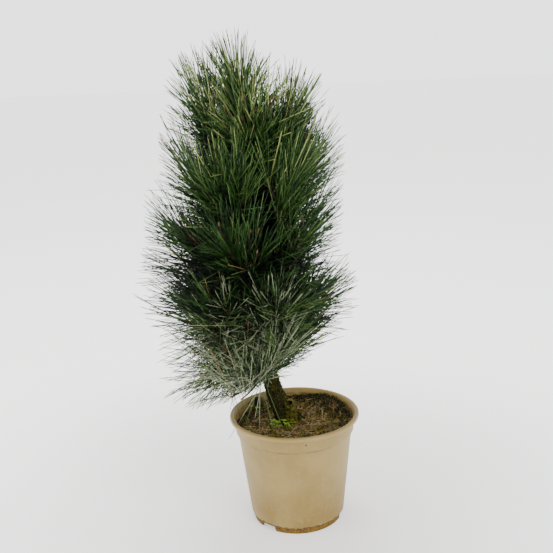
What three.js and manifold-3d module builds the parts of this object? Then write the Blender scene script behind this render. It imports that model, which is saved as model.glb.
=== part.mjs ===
// A young columnar Austrian pine, grafted low, standing in a round plastic nursery pot.
// Millimetres, +Z up. The origin is the middle of the pot's underside, and -Y faces the viewer.
// The trunk leans to the left out of the substrate, turns upright and runs up through the crown.
// Boughs leave it in whorls and climb steeply. Each one ends in a mass of needled shoots, and
// the space of each mass is what lies nearer to its own shoots than to any other mass's.

import * as THREE from "three";
import { mergeVertices } from "three/addons/utils/BufferGeometryUtils.js";
import Module from "manifold-3d";

const wasm = await Module();
wasm.setup();

// Driving dimensions of the pot
const POT_HEIGHT = 180;
const RIM_RADIUS = 105;
const WALL = 2.2;
const BEAD_HEIGHT = 8.5;
const BAND_RADIUS = 96.5;
const BAND_FOOT = 149;
const SHOULDER_RADIUS = 92;
const STEP_HEIGHT = 3.5;
const BODY_FOOT_RADIUS = 76.5;
const FOOT_RADIUS = 72.8;
const FOOT_HEIGHT = 11;
const FLOOR_LIFT = 8.5;
const PAD_RADIUS = 29;
const PAD_BEVEL = 4;
const NOTCH_COUNT = 3;
const NOTCH_WIDTH = 26;
const NOTCH_HEIGHT = 7.5;
const NOTCH_AZIMUTH = 228.5;
const DRAIN_COUNT = 6;
const DRAIN_RADIUS = 5;
const DRAIN_RING = 50;
const POT_SIDES = 32;

// Driving dimensions of the substrate, which lies flat round the trunk and uneven beyond that
const GAP = 0.3;
const SOIL_LEVEL = 165;
const SOIL_RELIEF = 5;
const SOIL_FLAT_TO = 44;
const SOIL_UNEVEN_FROM = 76;
const SOIL_RINGS = [78, 60, 34];

// Driving dimensions of the trunk and of the cut rootstock beside it
const TRUNK_FOOT = { x: -9, y: -2 };
const TRUNK_LEAN = 34;
const TRUNK_LEAN_HEIGHT = 60;
const TRUNK_DRIFT = 0.036;
const TRUNK_SWEEP_BACK = 7;
const TRUNK_START_Z = SOIL_LEVEL - 12;
const TRUNK_TIP_Z = 585;
const LEADER_TIP_Z = 690;
const TRUNK_FOOT_RADIUS = 15.2;
const TRUNK_TIP_RADIUS = 3.4;
const TRUNK_TAPER = 1.25;
const TRUNK_SIDES = 12;
const TRUNK_STEPS = 22;
const ROOT_FLARE = 5;
const ROOT_FLARE_HEIGHT = 11;
const ROOT_LOBES = 3;
const ROOT_LOBE_SHARE = 0.13;
const ROOT_LOBE_HEIGHT = 22;
const STUB = { x: 1, y: -7, top: 199, radius: 8.5, footRadius: 12.5, lean: -5 };
const STUB_PIT = { x: -1, radius: 4.4, depth: 8 };

// Driving dimensions of the boughs and the foliage
const BOUGH_ROOT_RADIUS = 5.2;
const BOUGH_TIP_RADIUS = 3;
const BARE_SHARE = 0.36;
const SLEEVE_SPARE = 0.35;
const STEM_SHOOT = { sides: 6, pitch: 7, core: 8.8, root: 3 };
const TWIG_SHOOT = { sides: 3, pitch: 4.8, core: 5.8, root: 1.8 };
const TWIG_SPACING = 26;
const TWIG_LENGTH = 54;
const TWIG_CLEARANCE = 2;
const NEEDLE_LENGTH = 92;
const LEAST_SPRAY = 16;
const CROWN_FOOT_Z = 203;
const SPRAY_BASE_SHARE = 0.6;
const SPREAD_AT_ROOT = 68;
const SPREAD_AT_TIP = 26;
const SPREAD_JITTER = 12;
const GOLDEN_SHARE = 0.381966;

// One row for each whorl: height on the trunk, boughs in it, azimuth of the first one (0 is
// right, 90 is away), climb at the root and at the tip, reach from the trunk to the tip, how
// much of that the boughs to the left gain and those to the right lose, and how far they sink
const WHORLS = [
  { name: "low", z: 256, count: 5, azimuth: 184, climb: [-2, 20], reach: 62, bias: 0.42, droop: 15 },
  { name: "skirt", z: 300, count: 5, azimuth: 150, climb: [16, 58], reach: 98, bias: 0.14, droop: 5 },
  { name: "middle", z: 354, count: 5, azimuth: 186, climb: [32, 74], reach: 100, bias: 0.07, droop: 2 },
  { name: "upper", z: 430, count: 5, azimuth: 170, climb: [38, 79], reach: 88, bias: 0.02, droop: 1 },
  { name: "high", z: 520, count: 4, azimuth: 196, climb: [54, 80], reach: 62, bias: -0.12, droop: -4 },
];
const SECOND_LEADER = { z: 451, azimuth: 349, climb: [62, 87], reach: 49, bare: 0.34 };
const ROOT_HEIGHT_JITTER = 14;
const AZIMUTH_JITTER = 14;
const CLIMB_JITTER = 5;
const REACH_JITTER = 0.1;

const radians = THREE.MathUtils.degToRad;
const { lerp, clamp, mapLinear, smoothstep } = THREE.MathUtils;
const range = (count) => Array.from({ length: count }, (_, i) => i);

// A repeatable stream of numbers from 0 to 1
function seeded(seed) {
  let state = seed % 4294967296;
  return () => {
    state = (state * 1664525 + 1013904223) % 4294967296;
    return state / 4294967296;
  };
}

// Solids: a closed three.js geometry becomes a manifold, faces out, and back

function manifoldOf(geometry) {
  const bare = geometry.clone();
  if (bare.hasAttribute("normal")) bare.deleteAttribute("normal");
  if (bare.hasAttribute("uv")) bare.deleteAttribute("uv");
  const merged = mergeVertices(bare, 1e-3);
  return new wasm.Manifold(
    new wasm.Mesh({
      numProp: 3,
      vertProperties: new Float32Array(merged.attributes.position.array),
      triVerts: new Uint32Array(merged.index.array),
    }),
  );
}

function solid(geometry) {
  const body = manifoldOf(geometry);
  if (body.volume() > 0) return body;
  const turned = geometry.clone();
  const index = turned.index.array;
  for (let i = 0; i < index.length; i += 3) {
    [index[i + 1], index[i + 2]] = [index[i + 2], index[i + 1]];
  }
  return manifoldOf(turned);
}

function geometryOf(body) {
  const mesh = body.getMesh();
  const geometry = new THREE.BufferGeometry();
  geometry.setAttribute("position", new THREE.BufferAttribute(mesh.vertProperties, 3));
  geometry.setIndex(new THREE.BufferAttribute(mesh.triVerts, 1));
  geometry.computeVertexNormals();
  return geometry;
}

const join = (bodies) => wasm.Manifold.union(bodies);

// Whether a body stays one closed skin once its corners are rounded to a ten-thousandth
function isSound(body) {
  const { vertProperties, triVerts } = body.getMesh();
  const ids = new Map();
  const cornerIds = range(vertProperties.length / 3).map((i) => {
    const key = range(3).map((k) => vertProperties[3 * i + k].toFixed(4)).join();
    if (!ids.has(key)) ids.set(key, ids.size);
    return ids.get(key);
  });
  const edges = new Map();
  for (let i = 0; i < triVerts.length; i += 3) {
    const face = range(3).map((k) => cornerIds[triVerts[i + k]]);
    if (new Set(face).size < 3) continue;
    face.forEach((from, k) => {
      const to = face[(k + 1) % 3];
      const key = from < to ? `${from} ${to}` : `${to} ${from}`;
      edges.set(key, (edges.get(key) ?? 0) + 1);
    });
  }
  return body.decompose().length === 1 && [...edges.values()].every((count) => count === 2);
}

// Curves of the wood. Each has an across direction, which steadies the sections along it.

// The trunk's centre line: leans left at the foot, straightens, then drifts left to the leader
class TrunkCurve extends THREE.Curve {
  across = new THREE.Vector3(1, 0, 0);
  shareAt(z) {
    return (z - TRUNK_START_Z) / (LEADER_TIP_Z - TRUNK_START_Z);
  }
  at(z) {
    return this.getPoint(this.shareAt(z));
  }
  getPoint(t) {
    const z = lerp(TRUNK_START_Z, LEADER_TIP_Z, t);
    const rise = z - SOIL_LEVEL;
    const settled = 1 - Math.exp(-rise / TRUNK_LEAN_HEIGHT);
    return new THREE.Vector3(
      TRUNK_FOOT.x - TRUNK_LEAN * settled - TRUNK_DRIFT * rise,
      TRUNK_FOOT.y + TRUNK_SWEEP_BACK * settled,
      z,
    );
  }
}

// A limb that sets off at one climb angle and turns steadily to another, towards one azimuth
class ClimbingCurve extends THREE.Curve {
  constructor(root, azimuth, climb, length) {
    super();
    this.root = root;
    this.climb = climb.map(radians);
    this.length = length;
    this.outward = new THREE.Vector3(Math.cos(radians(azimuth)), Math.sin(radians(azimuth)), 0);
    this.across = new THREE.Vector3(-this.outward.y, this.outward.x, 0);
  }
  getPoint(t) {
    const [from, to] = this.climb;
    const now = lerp(from, to, t);
    const scale = this.length / (to - from);
    const point = this.root.clone().addScaledVector(this.outward, scale * (Math.sin(now) - Math.sin(from)));
    point.z += scale * (Math.cos(from) - Math.cos(now));
    return point;
  }
}

// Centre, direction and two cross directions of a curve at a share of its length
function sectionAt(curve, t) {
  const step = 0.005;
  const centre = curve.getPoint(t);
  const along = curve.getPoint(t + step).sub(curve.getPoint(t - step)).normalize();
  const side = curve.across.clone().projectOnPlane(along).normalize();
  const front = new THREE.Vector3().crossVectors(side, along);
  const radial = (turn) => side.clone().multiplyScalar(Math.cos(turn)).addScaledVector(front, Math.sin(turn));
  return { centre, along, radial };
}

const trunkCurve = new TrunkCurve();

function trunkRadius(z) {
  const share = clamp((z - SOIL_LEVEL) / (LEADER_TIP_Z - SOIL_LEVEL), 0, 1);
  const taper = (TRUNK_FOOT_RADIUS - TRUNK_TIP_RADIUS) * (1 - share) ** TRUNK_TAPER;
  const flare = ROOT_FLARE * Math.exp(-Math.max(0, z - SOIL_LEVEL) / ROOT_FLARE_HEIGHT);
  return TRUNK_TIP_RADIUS + taper + flare;
}

// A cylinder bent on to a stretch of a curve, with a radius for each share and turn of it
function limb(curve, from, to, radius, sides, steps) {
  const geometry = new THREE.CylinderGeometry(1, 1, 1, sides, steps);
  const position = geometry.attributes.position;
  for (let i = 0; i < position.count; i++) {
    const share = position.getY(i) + 0.5;
    const { centre, radial } = sectionAt(curve, lerp(from, to, share));
    const turn = Math.atan2(position.getZ(i), position.getX(i));
    const isOnAxis = Math.hypot(position.getX(i), position.getZ(i)) < 0.5;
    if (!isOnAxis) centre.addScaledVector(radial(turn), radius(share, turn));
    position.setXYZ(i, centre.x, centre.y, centre.z);
  }
  return solid(geometry);
}

// Pot: one lathed wall with a raised floor, a middle pad, and a notched foot ring

// Radius of the inside of the wall at a height
function potInside(z) {
  const body = mapLinear(z, FOOT_HEIGHT, BAND_FOOT, BODY_FOOT_RADIUS, SHOULDER_RADIUS);
  const outside = z > BAND_FOOT + STEP_HEIGHT ? BAND_RADIUS - 1 : Math.min(body, SHOULDER_RADIUS);
  return outside - WALL;
}

function lathed(profile) {
  const body = new THREE.LatheGeometry(profile.map(([r, z]) => new THREE.Vector2(r, z)), POT_SIDES);
  return body.rotateX(Math.PI / 2);
}

function makePot() {
  const beadFoot = POT_HEIGHT - BEAD_HEIGHT;
  const wall = lathed([
    [0, 0],
    [PAD_RADIUS, 0],
    [PAD_RADIUS + PAD_BEVEL, FLOOR_LIFT],
    [FOOT_RADIUS - WALL, FLOOR_LIFT],
    [FOOT_RADIUS - WALL, 0],
    [FOOT_RADIUS, 0],
    [FOOT_RADIUS + 0.8, FOOT_HEIGHT - 2],
    [BODY_FOOT_RADIUS, FOOT_HEIGHT],
    [SHOULDER_RADIUS, BAND_FOOT],
    [BAND_RADIUS - 1, BAND_FOOT + STEP_HEIGHT],
    [BAND_RADIUS, beadFoot],
    [RIM_RADIUS - 2, beadFoot + 0.6],
    [RIM_RADIUS, beadFoot + 3.6],
    [RIM_RADIUS - 1, POT_HEIGHT - 1.4],
    [RIM_RADIUS - 3.4, POT_HEIGHT],
    [RIM_RADIUS - 6, POT_HEIGHT - 0.8],
    [BAND_RADIUS - WALL, beadFoot],
    [BAND_RADIUS - 1 - WALL, BAND_FOOT + STEP_HEIGHT],
    [SHOULDER_RADIUS - WALL, BAND_FOOT],
    [BODY_FOOT_RADIUS - WALL, FOOT_HEIGHT + 1],
    [FOOT_RADIUS - WALL, FLOOR_LIFT + WALL],
    [PAD_RADIUS + PAD_BEVEL - 1, FLOOR_LIFT + WALL],
    [PAD_RADIUS - 1, WALL],
    [0, WALL],
  ]);
  const notches = range(NOTCH_COUNT).map((i) => {
    const notch = new THREE.BoxGeometry(8 * WALL, NOTCH_WIDTH, 2 * NOTCH_HEIGHT);
    notch.translate(FOOT_RADIUS, 0, 0);
    return solid(notch.rotateZ(radians(NOTCH_AZIMUTH + (360 / NOTCH_COUNT) * i)));
  });
  const drains = range(DRAIN_COUNT).map((i) => {
    const drain = new THREE.CylinderGeometry(DRAIN_RADIUS, DRAIN_RADIUS, 4 * WALL, 8);
    drain.rotateX(Math.PI / 2).translate(DRAIN_RING, 0, FLOOR_LIFT + WALL / 2);
    return solid(drain.rotateZ(radians((360 / DRAIN_COUNT) * i)));
  });
  return solid(wall).subtract(join([...notches, ...drains]));
}

// Substrate: fills the pot to a finger's width under the rim

function soilHeight(x, y) {
  const away = smoothstep(Math.hypot(x - TRUNK_FOOT.x, y - TRUNK_FOOT.y), SOIL_FLAT_TO, SOIL_UNEVEN_FROM);
  const swell = 0.35 * Math.sin(x / 17 + 1) * Math.cos(y / 21) + 0.25 * Math.sin(y / 13 - x / 31);
  return SOIL_LEVEL + SOIL_RELIEF * away * (x / 110 + swell);
}

function makeSoil() {
  const floor = FLOOR_LIFT + WALL + GAP;
  const step = BAND_FOOT + STEP_HEIGHT;
  const body = lathed([
    [0, WALL + GAP],
    [PAD_RADIUS - 1.6, WALL + GAP],
    [PAD_RADIUS + PAD_BEVEL - 1.6, floor],
    [FOOT_RADIUS - WALL - 0.8, floor],
    [potInside(FOOT_HEIGHT + 1) - GAP, FOOT_HEIGHT + 1.6],
    [potInside(BAND_FOOT - 1) - GAP, BAND_FOOT - 1],
    [potInside(BAND_FOOT) - GAP, step + GAP],
    [potInside(step + 1) - GAP, step + 1],
    ...[potInside(SOIL_LEVEL) - GAP, ...SOIL_RINGS, 0].map((r) => [r, SOIL_LEVEL]),
  ]);
  const position = body.attributes.position;
  for (let i = 0; i < position.count; i++) {
    const isTop = Math.abs(position.getZ(i) - SOIL_LEVEL) < 0.01;
    if (isTop) position.setZ(i, soilHeight(position.getX(i), position.getY(i)));
  }
  return solid(body);
}

// Trunk: one tapering stem with its root flare, and beside it the hollow stub of the rootstock

function makeTrunk() {
  const heightAt = (share) => lerp(TRUNK_START_Z, TRUNK_TIP_Z, share);
  const stemRadius = (share, turn) => {
    const z = heightAt(share);
    const fade = Math.exp(-Math.max(0, z - SOIL_LEVEL) / ROOT_LOBE_HEIGHT);
    return trunkRadius(z) * (1 + ROOT_LOBE_SHARE * Math.cos(ROOT_LOBES * turn) * fade);
  };
  const stem = limb(trunkCurve, 0, trunkCurve.shareAt(TRUNK_TIP_Z), stemRadius, TRUNK_SIDES, TRUNK_STEPS);
  const stubHeight = STUB.top - TRUNK_START_Z;
  const stub = new THREE.CylinderGeometry(STUB.radius, STUB.footRadius, stubHeight, 10, 3);
  stub.rotateX(Math.PI / 2).rotateY(radians(STUB.lean));
  stub.translate(STUB.x, STUB.y, TRUNK_START_Z + stubHeight / 2);
  const pit = new THREE.ConeGeometry(STUB_PIT.radius, 2 * STUB_PIT.depth, 7);
  pit.rotateX(-Math.PI / 2).translate(STUB_PIT.x, STUB.y, STUB.top);
  const below = new THREE.BoxGeometry(120, 120, 40);
  below.translate(TRUNK_FOOT.x, TRUNK_FOOT.y, SOIL_LEVEL + GAP - 20);
  return join([stem, solid(stub)]).subtract(join([solid(pit), solid(below)]));
}

// The trunk grown by the gap, which the boughs are cut back to
function makeSleeve() {
  const from = trunkCurve.shareAt(SOIL_LEVEL + 30);
  const to = trunkCurve.shareAt(TRUNK_TIP_Z);
  const heightAt = (share) => lerp(SOIL_LEVEL + 30, TRUNK_TIP_Z, share);
  const radius = (share) => trunkRadius(heightAt(share)) + GAP + SLEEVE_SPARE;
  return limb(trunkCurve, from, to, radius, TRUNK_SIDES, 10);
}

// Branch plan: every branch is a bare bough, then a stem that carries sprays and twigs

const branches = WHORLS.flatMap((whorl, level) =>
  range(whorl.count).map((i) => {
    const random = seeded(101 * (level + 1) + 17 * i);
    const jitter = (size) => size * (random() - 0.5);
    const azimuth = whorl.azimuth + (360 / whorl.count) * i + jitter(AZIMUTH_JITTER);
    const towardsLeft = -Math.cos(radians(azimuth));
    const climb = whorl.climb.map((angle) => angle - whorl.droop * towardsLeft + jitter(CLIMB_JITTER));
    const reach = whorl.reach * (1 + whorl.bias * towardsLeft + jitter(REACH_JITTER));
    const z = whorl.z + jitter(ROOT_HEIGHT_JITTER);
    return { name: `${whorl.name}_${i + 1}`, z, azimuth, climb, reach, bare: BARE_SHARE };
  }),
);
branches.push({ name: "second_leader", ...SECOND_LEADER });
for (const branch of branches) {
  const [from, to] = branch.climb.map(radians);
  branch.length = (branch.reach * (to - from)) / (Math.sin(to) - Math.sin(from));
  branch.curve = new ClimbingCurve(trunkCurve.at(branch.z), branch.azimuth, branch.climb, branch.length);
}

// Shoots of each mass: the stem past the bough, then twigs off its two sides in turn

const pointsOf = (curve, from, to, count) =>
  range(count).map((i) => curve.getPoint(lerp(from, to, i / (count - 1))));

const makeShoot = (curve, from, to, length, kind) => ({
  curve,
  from,
  to,
  length,
  ...kind,
  line: pointsOf(curve, from, to, 9),
});

const masses = branches.map((branch, i) => ({
  name: `foliage_${branch.name}`,
  seed: 4001 + 37 * i,
  azimuth: branch.azimuth,
  stem: makeShoot(
    branch.curve,
    branch.bare + GAP / branch.length,
    1,
    branch.length * (1 - branch.bare),
    STEM_SHOOT,
  ),
}));
const leaderRoot = trunkCurve.shareAt(TRUNK_TIP_Z + GAP);
masses.push({
  name: "foliage_leader",
  seed: 3001,
  azimuth: 180,
  stem: makeShoot(trunkCurve, leaderRoot, 1, LEADER_TIP_Z - TRUNK_TIP_Z, STEM_SHOOT),
});

for (const mass of masses) {
  const random = seeded(mass.seed);
  const { curve, from, to, length } = mass.stem;
  const twigCount = Math.round(length / TWIG_SPACING);
  const twigs = range(twigCount).map((k) => {
    const root = curve.getPoint(lerp(from, to, 0.1 + (0.66 * (k + 0.5)) / twigCount));
    const azimuth = mass.azimuth + (k % 2 ? 1 : -1) * (44 + 44 * random());
    const twigLength = TWIG_LENGTH * (0.86 + 0.34 * random());
    const climb = [22 + 14 * random(), 70 + 10 * random()];
    return makeShoot(new ClimbingCurve(root, azimuth, climb, twigLength), 0, 1, twigLength, TWIG_SHOOT);
  });
  mass.shoots = [mass.stem, ...twigs];
}

// Wood that foliage keeps off: the trunk and the bare boughs, as lines with a radius
const limbs = [
  {
    line: pointsOf(trunkCurve, trunkCurve.shareAt(SOIL_LEVEL), trunkCurve.shareAt(TRUNK_TIP_Z), 30),
    radius: (share) => trunkRadius(lerp(SOIL_LEVEL, TRUNK_TIP_Z, share)),
  },
  ...branches.map((branch) => ({
    line: pointsOf(branch.curve, 0, branch.bare, 9),
    radius: () => BOUGH_ROOT_RADIUS,
  })),
];

// Least distance from a point to a line of points, less the radius there if it has one
const segment = new THREE.Line3();
const foot = new THREE.Vector3();
function distanceTo(line, point, radius = () => 0) {
  let least = Infinity;
  for (let i = 1; i < line.length; i++) {
    segment.set(line[i - 1], line[i]);
    segment.closestPointToPoint(point, true, foot);
    least = Math.min(least, foot.distanceTo(point) - radius(i / (line.length - 1)));
  }
  return least;
}

const clearOfLimbs = (point, spare) =>
  limbs.every((wood) => distanceTo(wood.line, point, wood.radius) > spare);

// A twig that strays on to a limb or another mass's shoot isn't grown
for (const mass of masses) {
  const others = () => masses.filter((other) => other !== mass).flatMap((other) => other.shoots);
  const isClear = (twig, point) =>
    clearOfLimbs(point, twig.core + 1) &&
    others().every((other) => distanceTo(other.line, point) > twig.core + other.core + TWIG_CLEARANCE);
  mass.shoots = mass.shoots.filter((shoot) =>
    shoot === mass.stem || shoot.line.slice(2).every((point) => isClear(shoot, point)),
  );
}
const shoots = masses.flatMap((mass) => mass.shoots);

// How far a spray can reach from its root before it leaves its own shoot's space or nears wood.
// A point that is nearer to its own shoot by twice a margin lies at least that margin inside.
function reachOf(shoot, root, heading) {
  const baseWidth = SPRAY_BASE_SHARE * shoot.pitch;
  for (let length = NEEDLE_LENGTH; length > LEAST_SPRAY; length *= 0.86) {
    const isClear = [0.12, 0.3, 0.48, 0.66, 0.84, 1].every((share) => {
      const point = root.clone().addScaledVector(heading, share * length);
      const margin = baseWidth * (1 - share) + GAP;
      const own = distanceTo(shoot.line, point) + 2 * margin;
      return (
        point.z > CROWN_FOOT_Z &&
        clearOfLimbs(point, margin) &&
        shoots.every((other) => other === shoot || distanceTo(other.line, point) > own)
      );
    });
    if (isClear) return length;
  }
  return 0;
}

// A needled shoot: a tube round its curve with every third corner drawn out into a spray of
// needles. The rings turn so that successive sprays follow the golden angle, as the needles do,
// and the sprays lie closer to the shoot towards its tip, which ends in a spray of its own.
function needledShoot(shoot, random) {
  const { curve, from, to, sides, core, root } = shoot;
  const rings = Math.round(shoot.length / shoot.pitch);
  const twist = (GOLDEN_SHARE * 3 - 1) / sides;
  const corners = [];
  for (let i = 0; i <= rings; i++) {
    const share = i / rings;
    const { centre, along, radial } = sectionAt(curve, lerp(from, to, share));
    const radius = i === 0 ? root : lerp(core, core / 2, (2 * share - 0.9) ** 2);
    for (let j = 0; j < sides; j++) {
      const outward = radial(2 * Math.PI * (j / sides + twist * i));
      const corner = centre.clone().addScaledVector(outward, radius);
      const isSpray = i > 1 && i < rings && (3 * rings + j - i) % 3 === 0;
      if (isSpray) {
        const spread = radians(lerp(SPREAD_AT_ROOT, SPREAD_AT_TIP, share) + SPREAD_JITTER * (random() - 0.5));
        const heading = along.clone().multiplyScalar(Math.cos(spread));
        heading.addScaledVector(outward, Math.sin(spread));
        corner.addScaledVector(heading, reachOf(shoot, corner, heading) * (0.86 + 0.14 * random()));
      }
      corners.push(corner);
    }
    if (i === 0) corners.push(centre);
    if (i === rings) corners.push(centre.clone().addScaledVector(along, reachOf(shoot, centre, along)));
  }
  const at = (i, j) => (i === 0 ? 0 : 1) + i * sides + (j % sides);
  const faces = range(sides).flatMap((j) => [
    [sides, at(0, j), at(0, j + 1)],
    [corners.length - 1, at(rings, j + 1), at(rings, j)],
    ...range(rings).flatMap((i) => [
      [at(i, j), at(i + 1, j), at(i, j + 1)],
      [at(i + 1, j), at(i + 1, j + 1), at(i, j + 1)],
    ]),
  ]);
  const geometry = new THREE.BufferGeometry().setFromPoints(corners);
  geometry.setIndex(faces.flat());
  return solid(geometry);
}

// A twig that would leave a sliver or a sealed hollow where it joins its stem isn't grown
function makeMass(mass) {
  const random = seeded(mass.seed + 5);
  return mass.shoots
    .map((shoot) => needledShoot(shoot, random))
    .reduce((body, twig) => {
      const grown = body.add(twig);
      return isSound(grown) ? grown : body;
    });
}

// A bough runs from the trunk's skin to where it enters its mass
function makeBough(branch, sleeve) {
  const radius = (share) => lerp(BOUGH_ROOT_RADIUS, BOUGH_TIP_RADIUS, share);
  const pieces = limb(branch.curve, 0, branch.bare, radius, 5, 2).subtract(sleeve).decompose();
  return pieces.reduce((a, b) => (a.volume() > b.volume() ? a : b));
}

// The assembly

const POT_PLASTIC = new THREE.MeshStandardMaterial({ color: 0xb3a07c, roughness: 0.55, metalness: 0 });
const SUBSTRATE = new THREE.MeshStandardMaterial({ color: 0x3a3322, roughness: 0.95, metalness: 0 });
const BARK = new THREE.MeshStandardMaterial({ color: 0x4a4328, roughness: 0.9, metalness: 0 });
const NEEDLES = new THREE.MeshStandardMaterial({ color: 0x3c5226, roughness: 0.6, metalness: 0 });

const plant = new THREE.Group();

function addPiece(name, body, material) {
  const mesh = new THREE.Mesh(geometryOf(body), material);
  mesh.name = name;
  plant.add(mesh);
}

addPiece("pot", makePot(), POT_PLASTIC);
addPiece("soil", makeSoil(), SUBSTRATE);
addPiece("trunk", makeTrunk(), BARK);
const sleeve = makeSleeve();
for (const branch of branches) addPiece(`bough_${branch.name}`, makeBough(branch, sleeve), BARK);
for (const mass of masses) addPiece(mass.name, makeMass(mass), NEEDLES);

export default plant;
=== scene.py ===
# A young columnar Austrian pine in a round plastic nursery pot, dressed around its CAD frame.
# Sizes are in millimetres, and MM turns them into Blender's metres as a mesh or a node takes them.
# Azimuth 0 is the viewer's right and 90 is away. Nothing here depends on the run.
import math
from collections import namedtuple

import bpy
import numpy as np
from mathutils import Matrix, Vector, noise


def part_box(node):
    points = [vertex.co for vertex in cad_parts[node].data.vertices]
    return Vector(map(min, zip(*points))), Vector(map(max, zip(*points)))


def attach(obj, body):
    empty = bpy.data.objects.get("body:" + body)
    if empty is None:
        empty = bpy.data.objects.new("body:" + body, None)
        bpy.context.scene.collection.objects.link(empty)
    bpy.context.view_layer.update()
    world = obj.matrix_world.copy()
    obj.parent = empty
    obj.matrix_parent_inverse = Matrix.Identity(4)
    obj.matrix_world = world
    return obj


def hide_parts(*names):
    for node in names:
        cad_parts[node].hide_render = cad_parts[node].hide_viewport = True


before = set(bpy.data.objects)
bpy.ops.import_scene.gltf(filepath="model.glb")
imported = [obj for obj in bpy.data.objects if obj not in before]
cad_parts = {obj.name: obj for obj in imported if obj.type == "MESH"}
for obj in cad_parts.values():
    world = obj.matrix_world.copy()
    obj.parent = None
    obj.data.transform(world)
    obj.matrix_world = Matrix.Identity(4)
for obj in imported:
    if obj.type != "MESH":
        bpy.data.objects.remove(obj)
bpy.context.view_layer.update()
MM = 0.001


# Camera, light and floor. The camera stands where the photograph was taken from: a little over
# a metre away at about chest height over the pot, tipped down and turned slightly.
CAMERA_DISTANCE = 1242.2
CAMERA_HEIGHT = 724.8
CAMERA_YAW = 0.877
CAMERA_PITCH = 14.373
CAMERA_ROLL = -2.532
SENSOR_WIDTH = 36.0
FOCAL_LENGTH = 53.56

link = bpy.context.scene.collection.objects.link
camera_data = bpy.data.cameras.new("camera")
camera_data.sensor_width = SENSOR_WIDTH
camera_data.lens = FOCAL_LENGTH
camera = bpy.data.objects.new("camera", camera_data)
link(camera)
camera.matrix_world = (
    Matrix.Translation(Vector((0, -CAMERA_DISTANCE, CAMERA_HEIGHT)) * MM)
    @ Matrix.Rotation(math.radians(CAMERA_YAW), 4, "Z")
    @ Matrix.Rotation(math.radians(90 - CAMERA_PITCH), 4, "X")
    @ Matrix.Rotation(math.radians(CAMERA_ROLL), 4, "Z")
)
bpy.context.scene.camera = camera


def linear(hex_colour):
    """An sRGB hex colour as linear red, green, blue and alpha."""
    parts = [int(hex_colour[i : i + 2], 16) / 255 for i in (1, 3, 5)]
    return [c / 12.92 if c <= 0.04045 else ((c + 0.055) / 1.055) ** 2.4 for c in parts] + [1.0]


def feed(tree, node, inputs):
    """Gives each input of a node its value, its hex colour, or the socket that it is linked to."""
    for name, value in inputs.items():
        if isinstance(value, bpy.types.NodeSocket):
            tree.links.new(value, node.inputs[name])
        else:
            is_colour = isinstance(value, str) and value.startswith("#")
            node.inputs[name].default_value = linear(value) if is_colour else value


def add(tree, kind, inputs={}, **settings):
    """Adds a node to a tree with its settings and links."""
    node = tree.nodes.new(kind)
    for name, value in settings.items():
        setattr(node, name, value)
    feed(tree, node, inputs)
    return node


# Large square lamps, all aimed at the middle of the plant: place and width in metres, and watts.
LAMPS = {
    "key_light": ((0.9, -1.7, 2.5), 1.3, 40),
    "side_light": ((-1.9, -0.9, 1.7), 1.2, 12),
    "top_light": ((-0.4, 0.8, 2.7), 1.4, 45),
}
LIT_POINT = Vector((0, 0, 0.4))
for name, (place, width, watts) in LAMPS.items():
    lamp = bpy.data.lights.new(name, "AREA")
    lamp.size = width
    lamp.energy = watts
    holder = bpy.data.objects.new(name, lamp)
    holder.location = place
    holder.rotation_euler = (LIT_POINT - Vector(place)).to_track_quat("-Z", "Y").to_euler()
    link(holder)

# A white studio: bright walls all round at eye level, and a dimmer ceiling.
WALL_LIGHT = 2.6
CEILING_LIGHT = 0.7
WALL_TOP = 0.1
CEILING_FOOT = 0.5
world = bpy.data.worlds.new("studio")
world.use_nodes = True
tree = world.node_tree
towards = add(tree, "ShaderNodeTexCoord").outputs["Generated"]
upward = add(tree, "ShaderNodeSeparateXYZ", {"Vector": towards}).outputs["Z"]
span = {"Value": upward, "From Min": WALL_TOP, "From Max": CEILING_FOOT}
span.update({"To Min": WALL_LIGHT, "To Max": CEILING_LIGHT})
span = add(tree, "ShaderNodeMapRange", span, interpolation_type="SMOOTHSTEP")
feed(tree, tree.nodes["Background"], {"Color": "#ffffff", "Strength": span.outputs["Result"]})
bpy.context.scene.world = world

# The floor is a white board lit from behind: it glows evenly further out, and less under the pot, where the
# dimmer glow adds a painted shadow to the contact shade. Its sizes are in metres.
FLOOR_HALF = 30.0
GLOW_UNDER_POT = 0.6
GLOW_FURTHER_OUT = 1.62
GLOW_FROM = 0.1
GLOW_FULL_AT = 0.9
floor_mesh = bpy.data.meshes.new("floor")
corners = [(x * FLOOR_HALF, y * FLOOR_HALF, 0) for x, y in ((-1, -1), (1, -1), (1, 1), (-1, 1))]
floor_mesh.from_pydata(corners, [], [(0, 1, 2, 3)])
pale_board = bpy.data.materials.new("white_backlit_board")
pale_board.use_nodes = True
tree = pale_board.node_tree
place = add(tree, "ShaderNodeTexCoord").outputs["Object"]
from_pot = add(tree, "ShaderNodeVectorMath", {0: place}, operation="LENGTH").outputs["Value"]
glow = {"Value": from_pot, "From Min": GLOW_FROM, "From Max": GLOW_FULL_AT}
glow.update({"To Min": GLOW_UNDER_POT, "To Max": GLOW_FURTHER_OUT})
glow = add(tree, "ShaderNodeMapRange", glow, interpolation_type="SMOOTHSTEP").outputs["Result"]
board = {"Base Color": "#f4f4f2", "Roughness": 0.9, "Emission Color": "#ffffff", "Emission Strength": glow}
feed(tree, tree.nodes["Principled BSDF"], board)
floor_mesh.materials.append(pale_board)
floor = bpy.data.objects.new("floor", floor_mesh)
link(floor)


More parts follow.
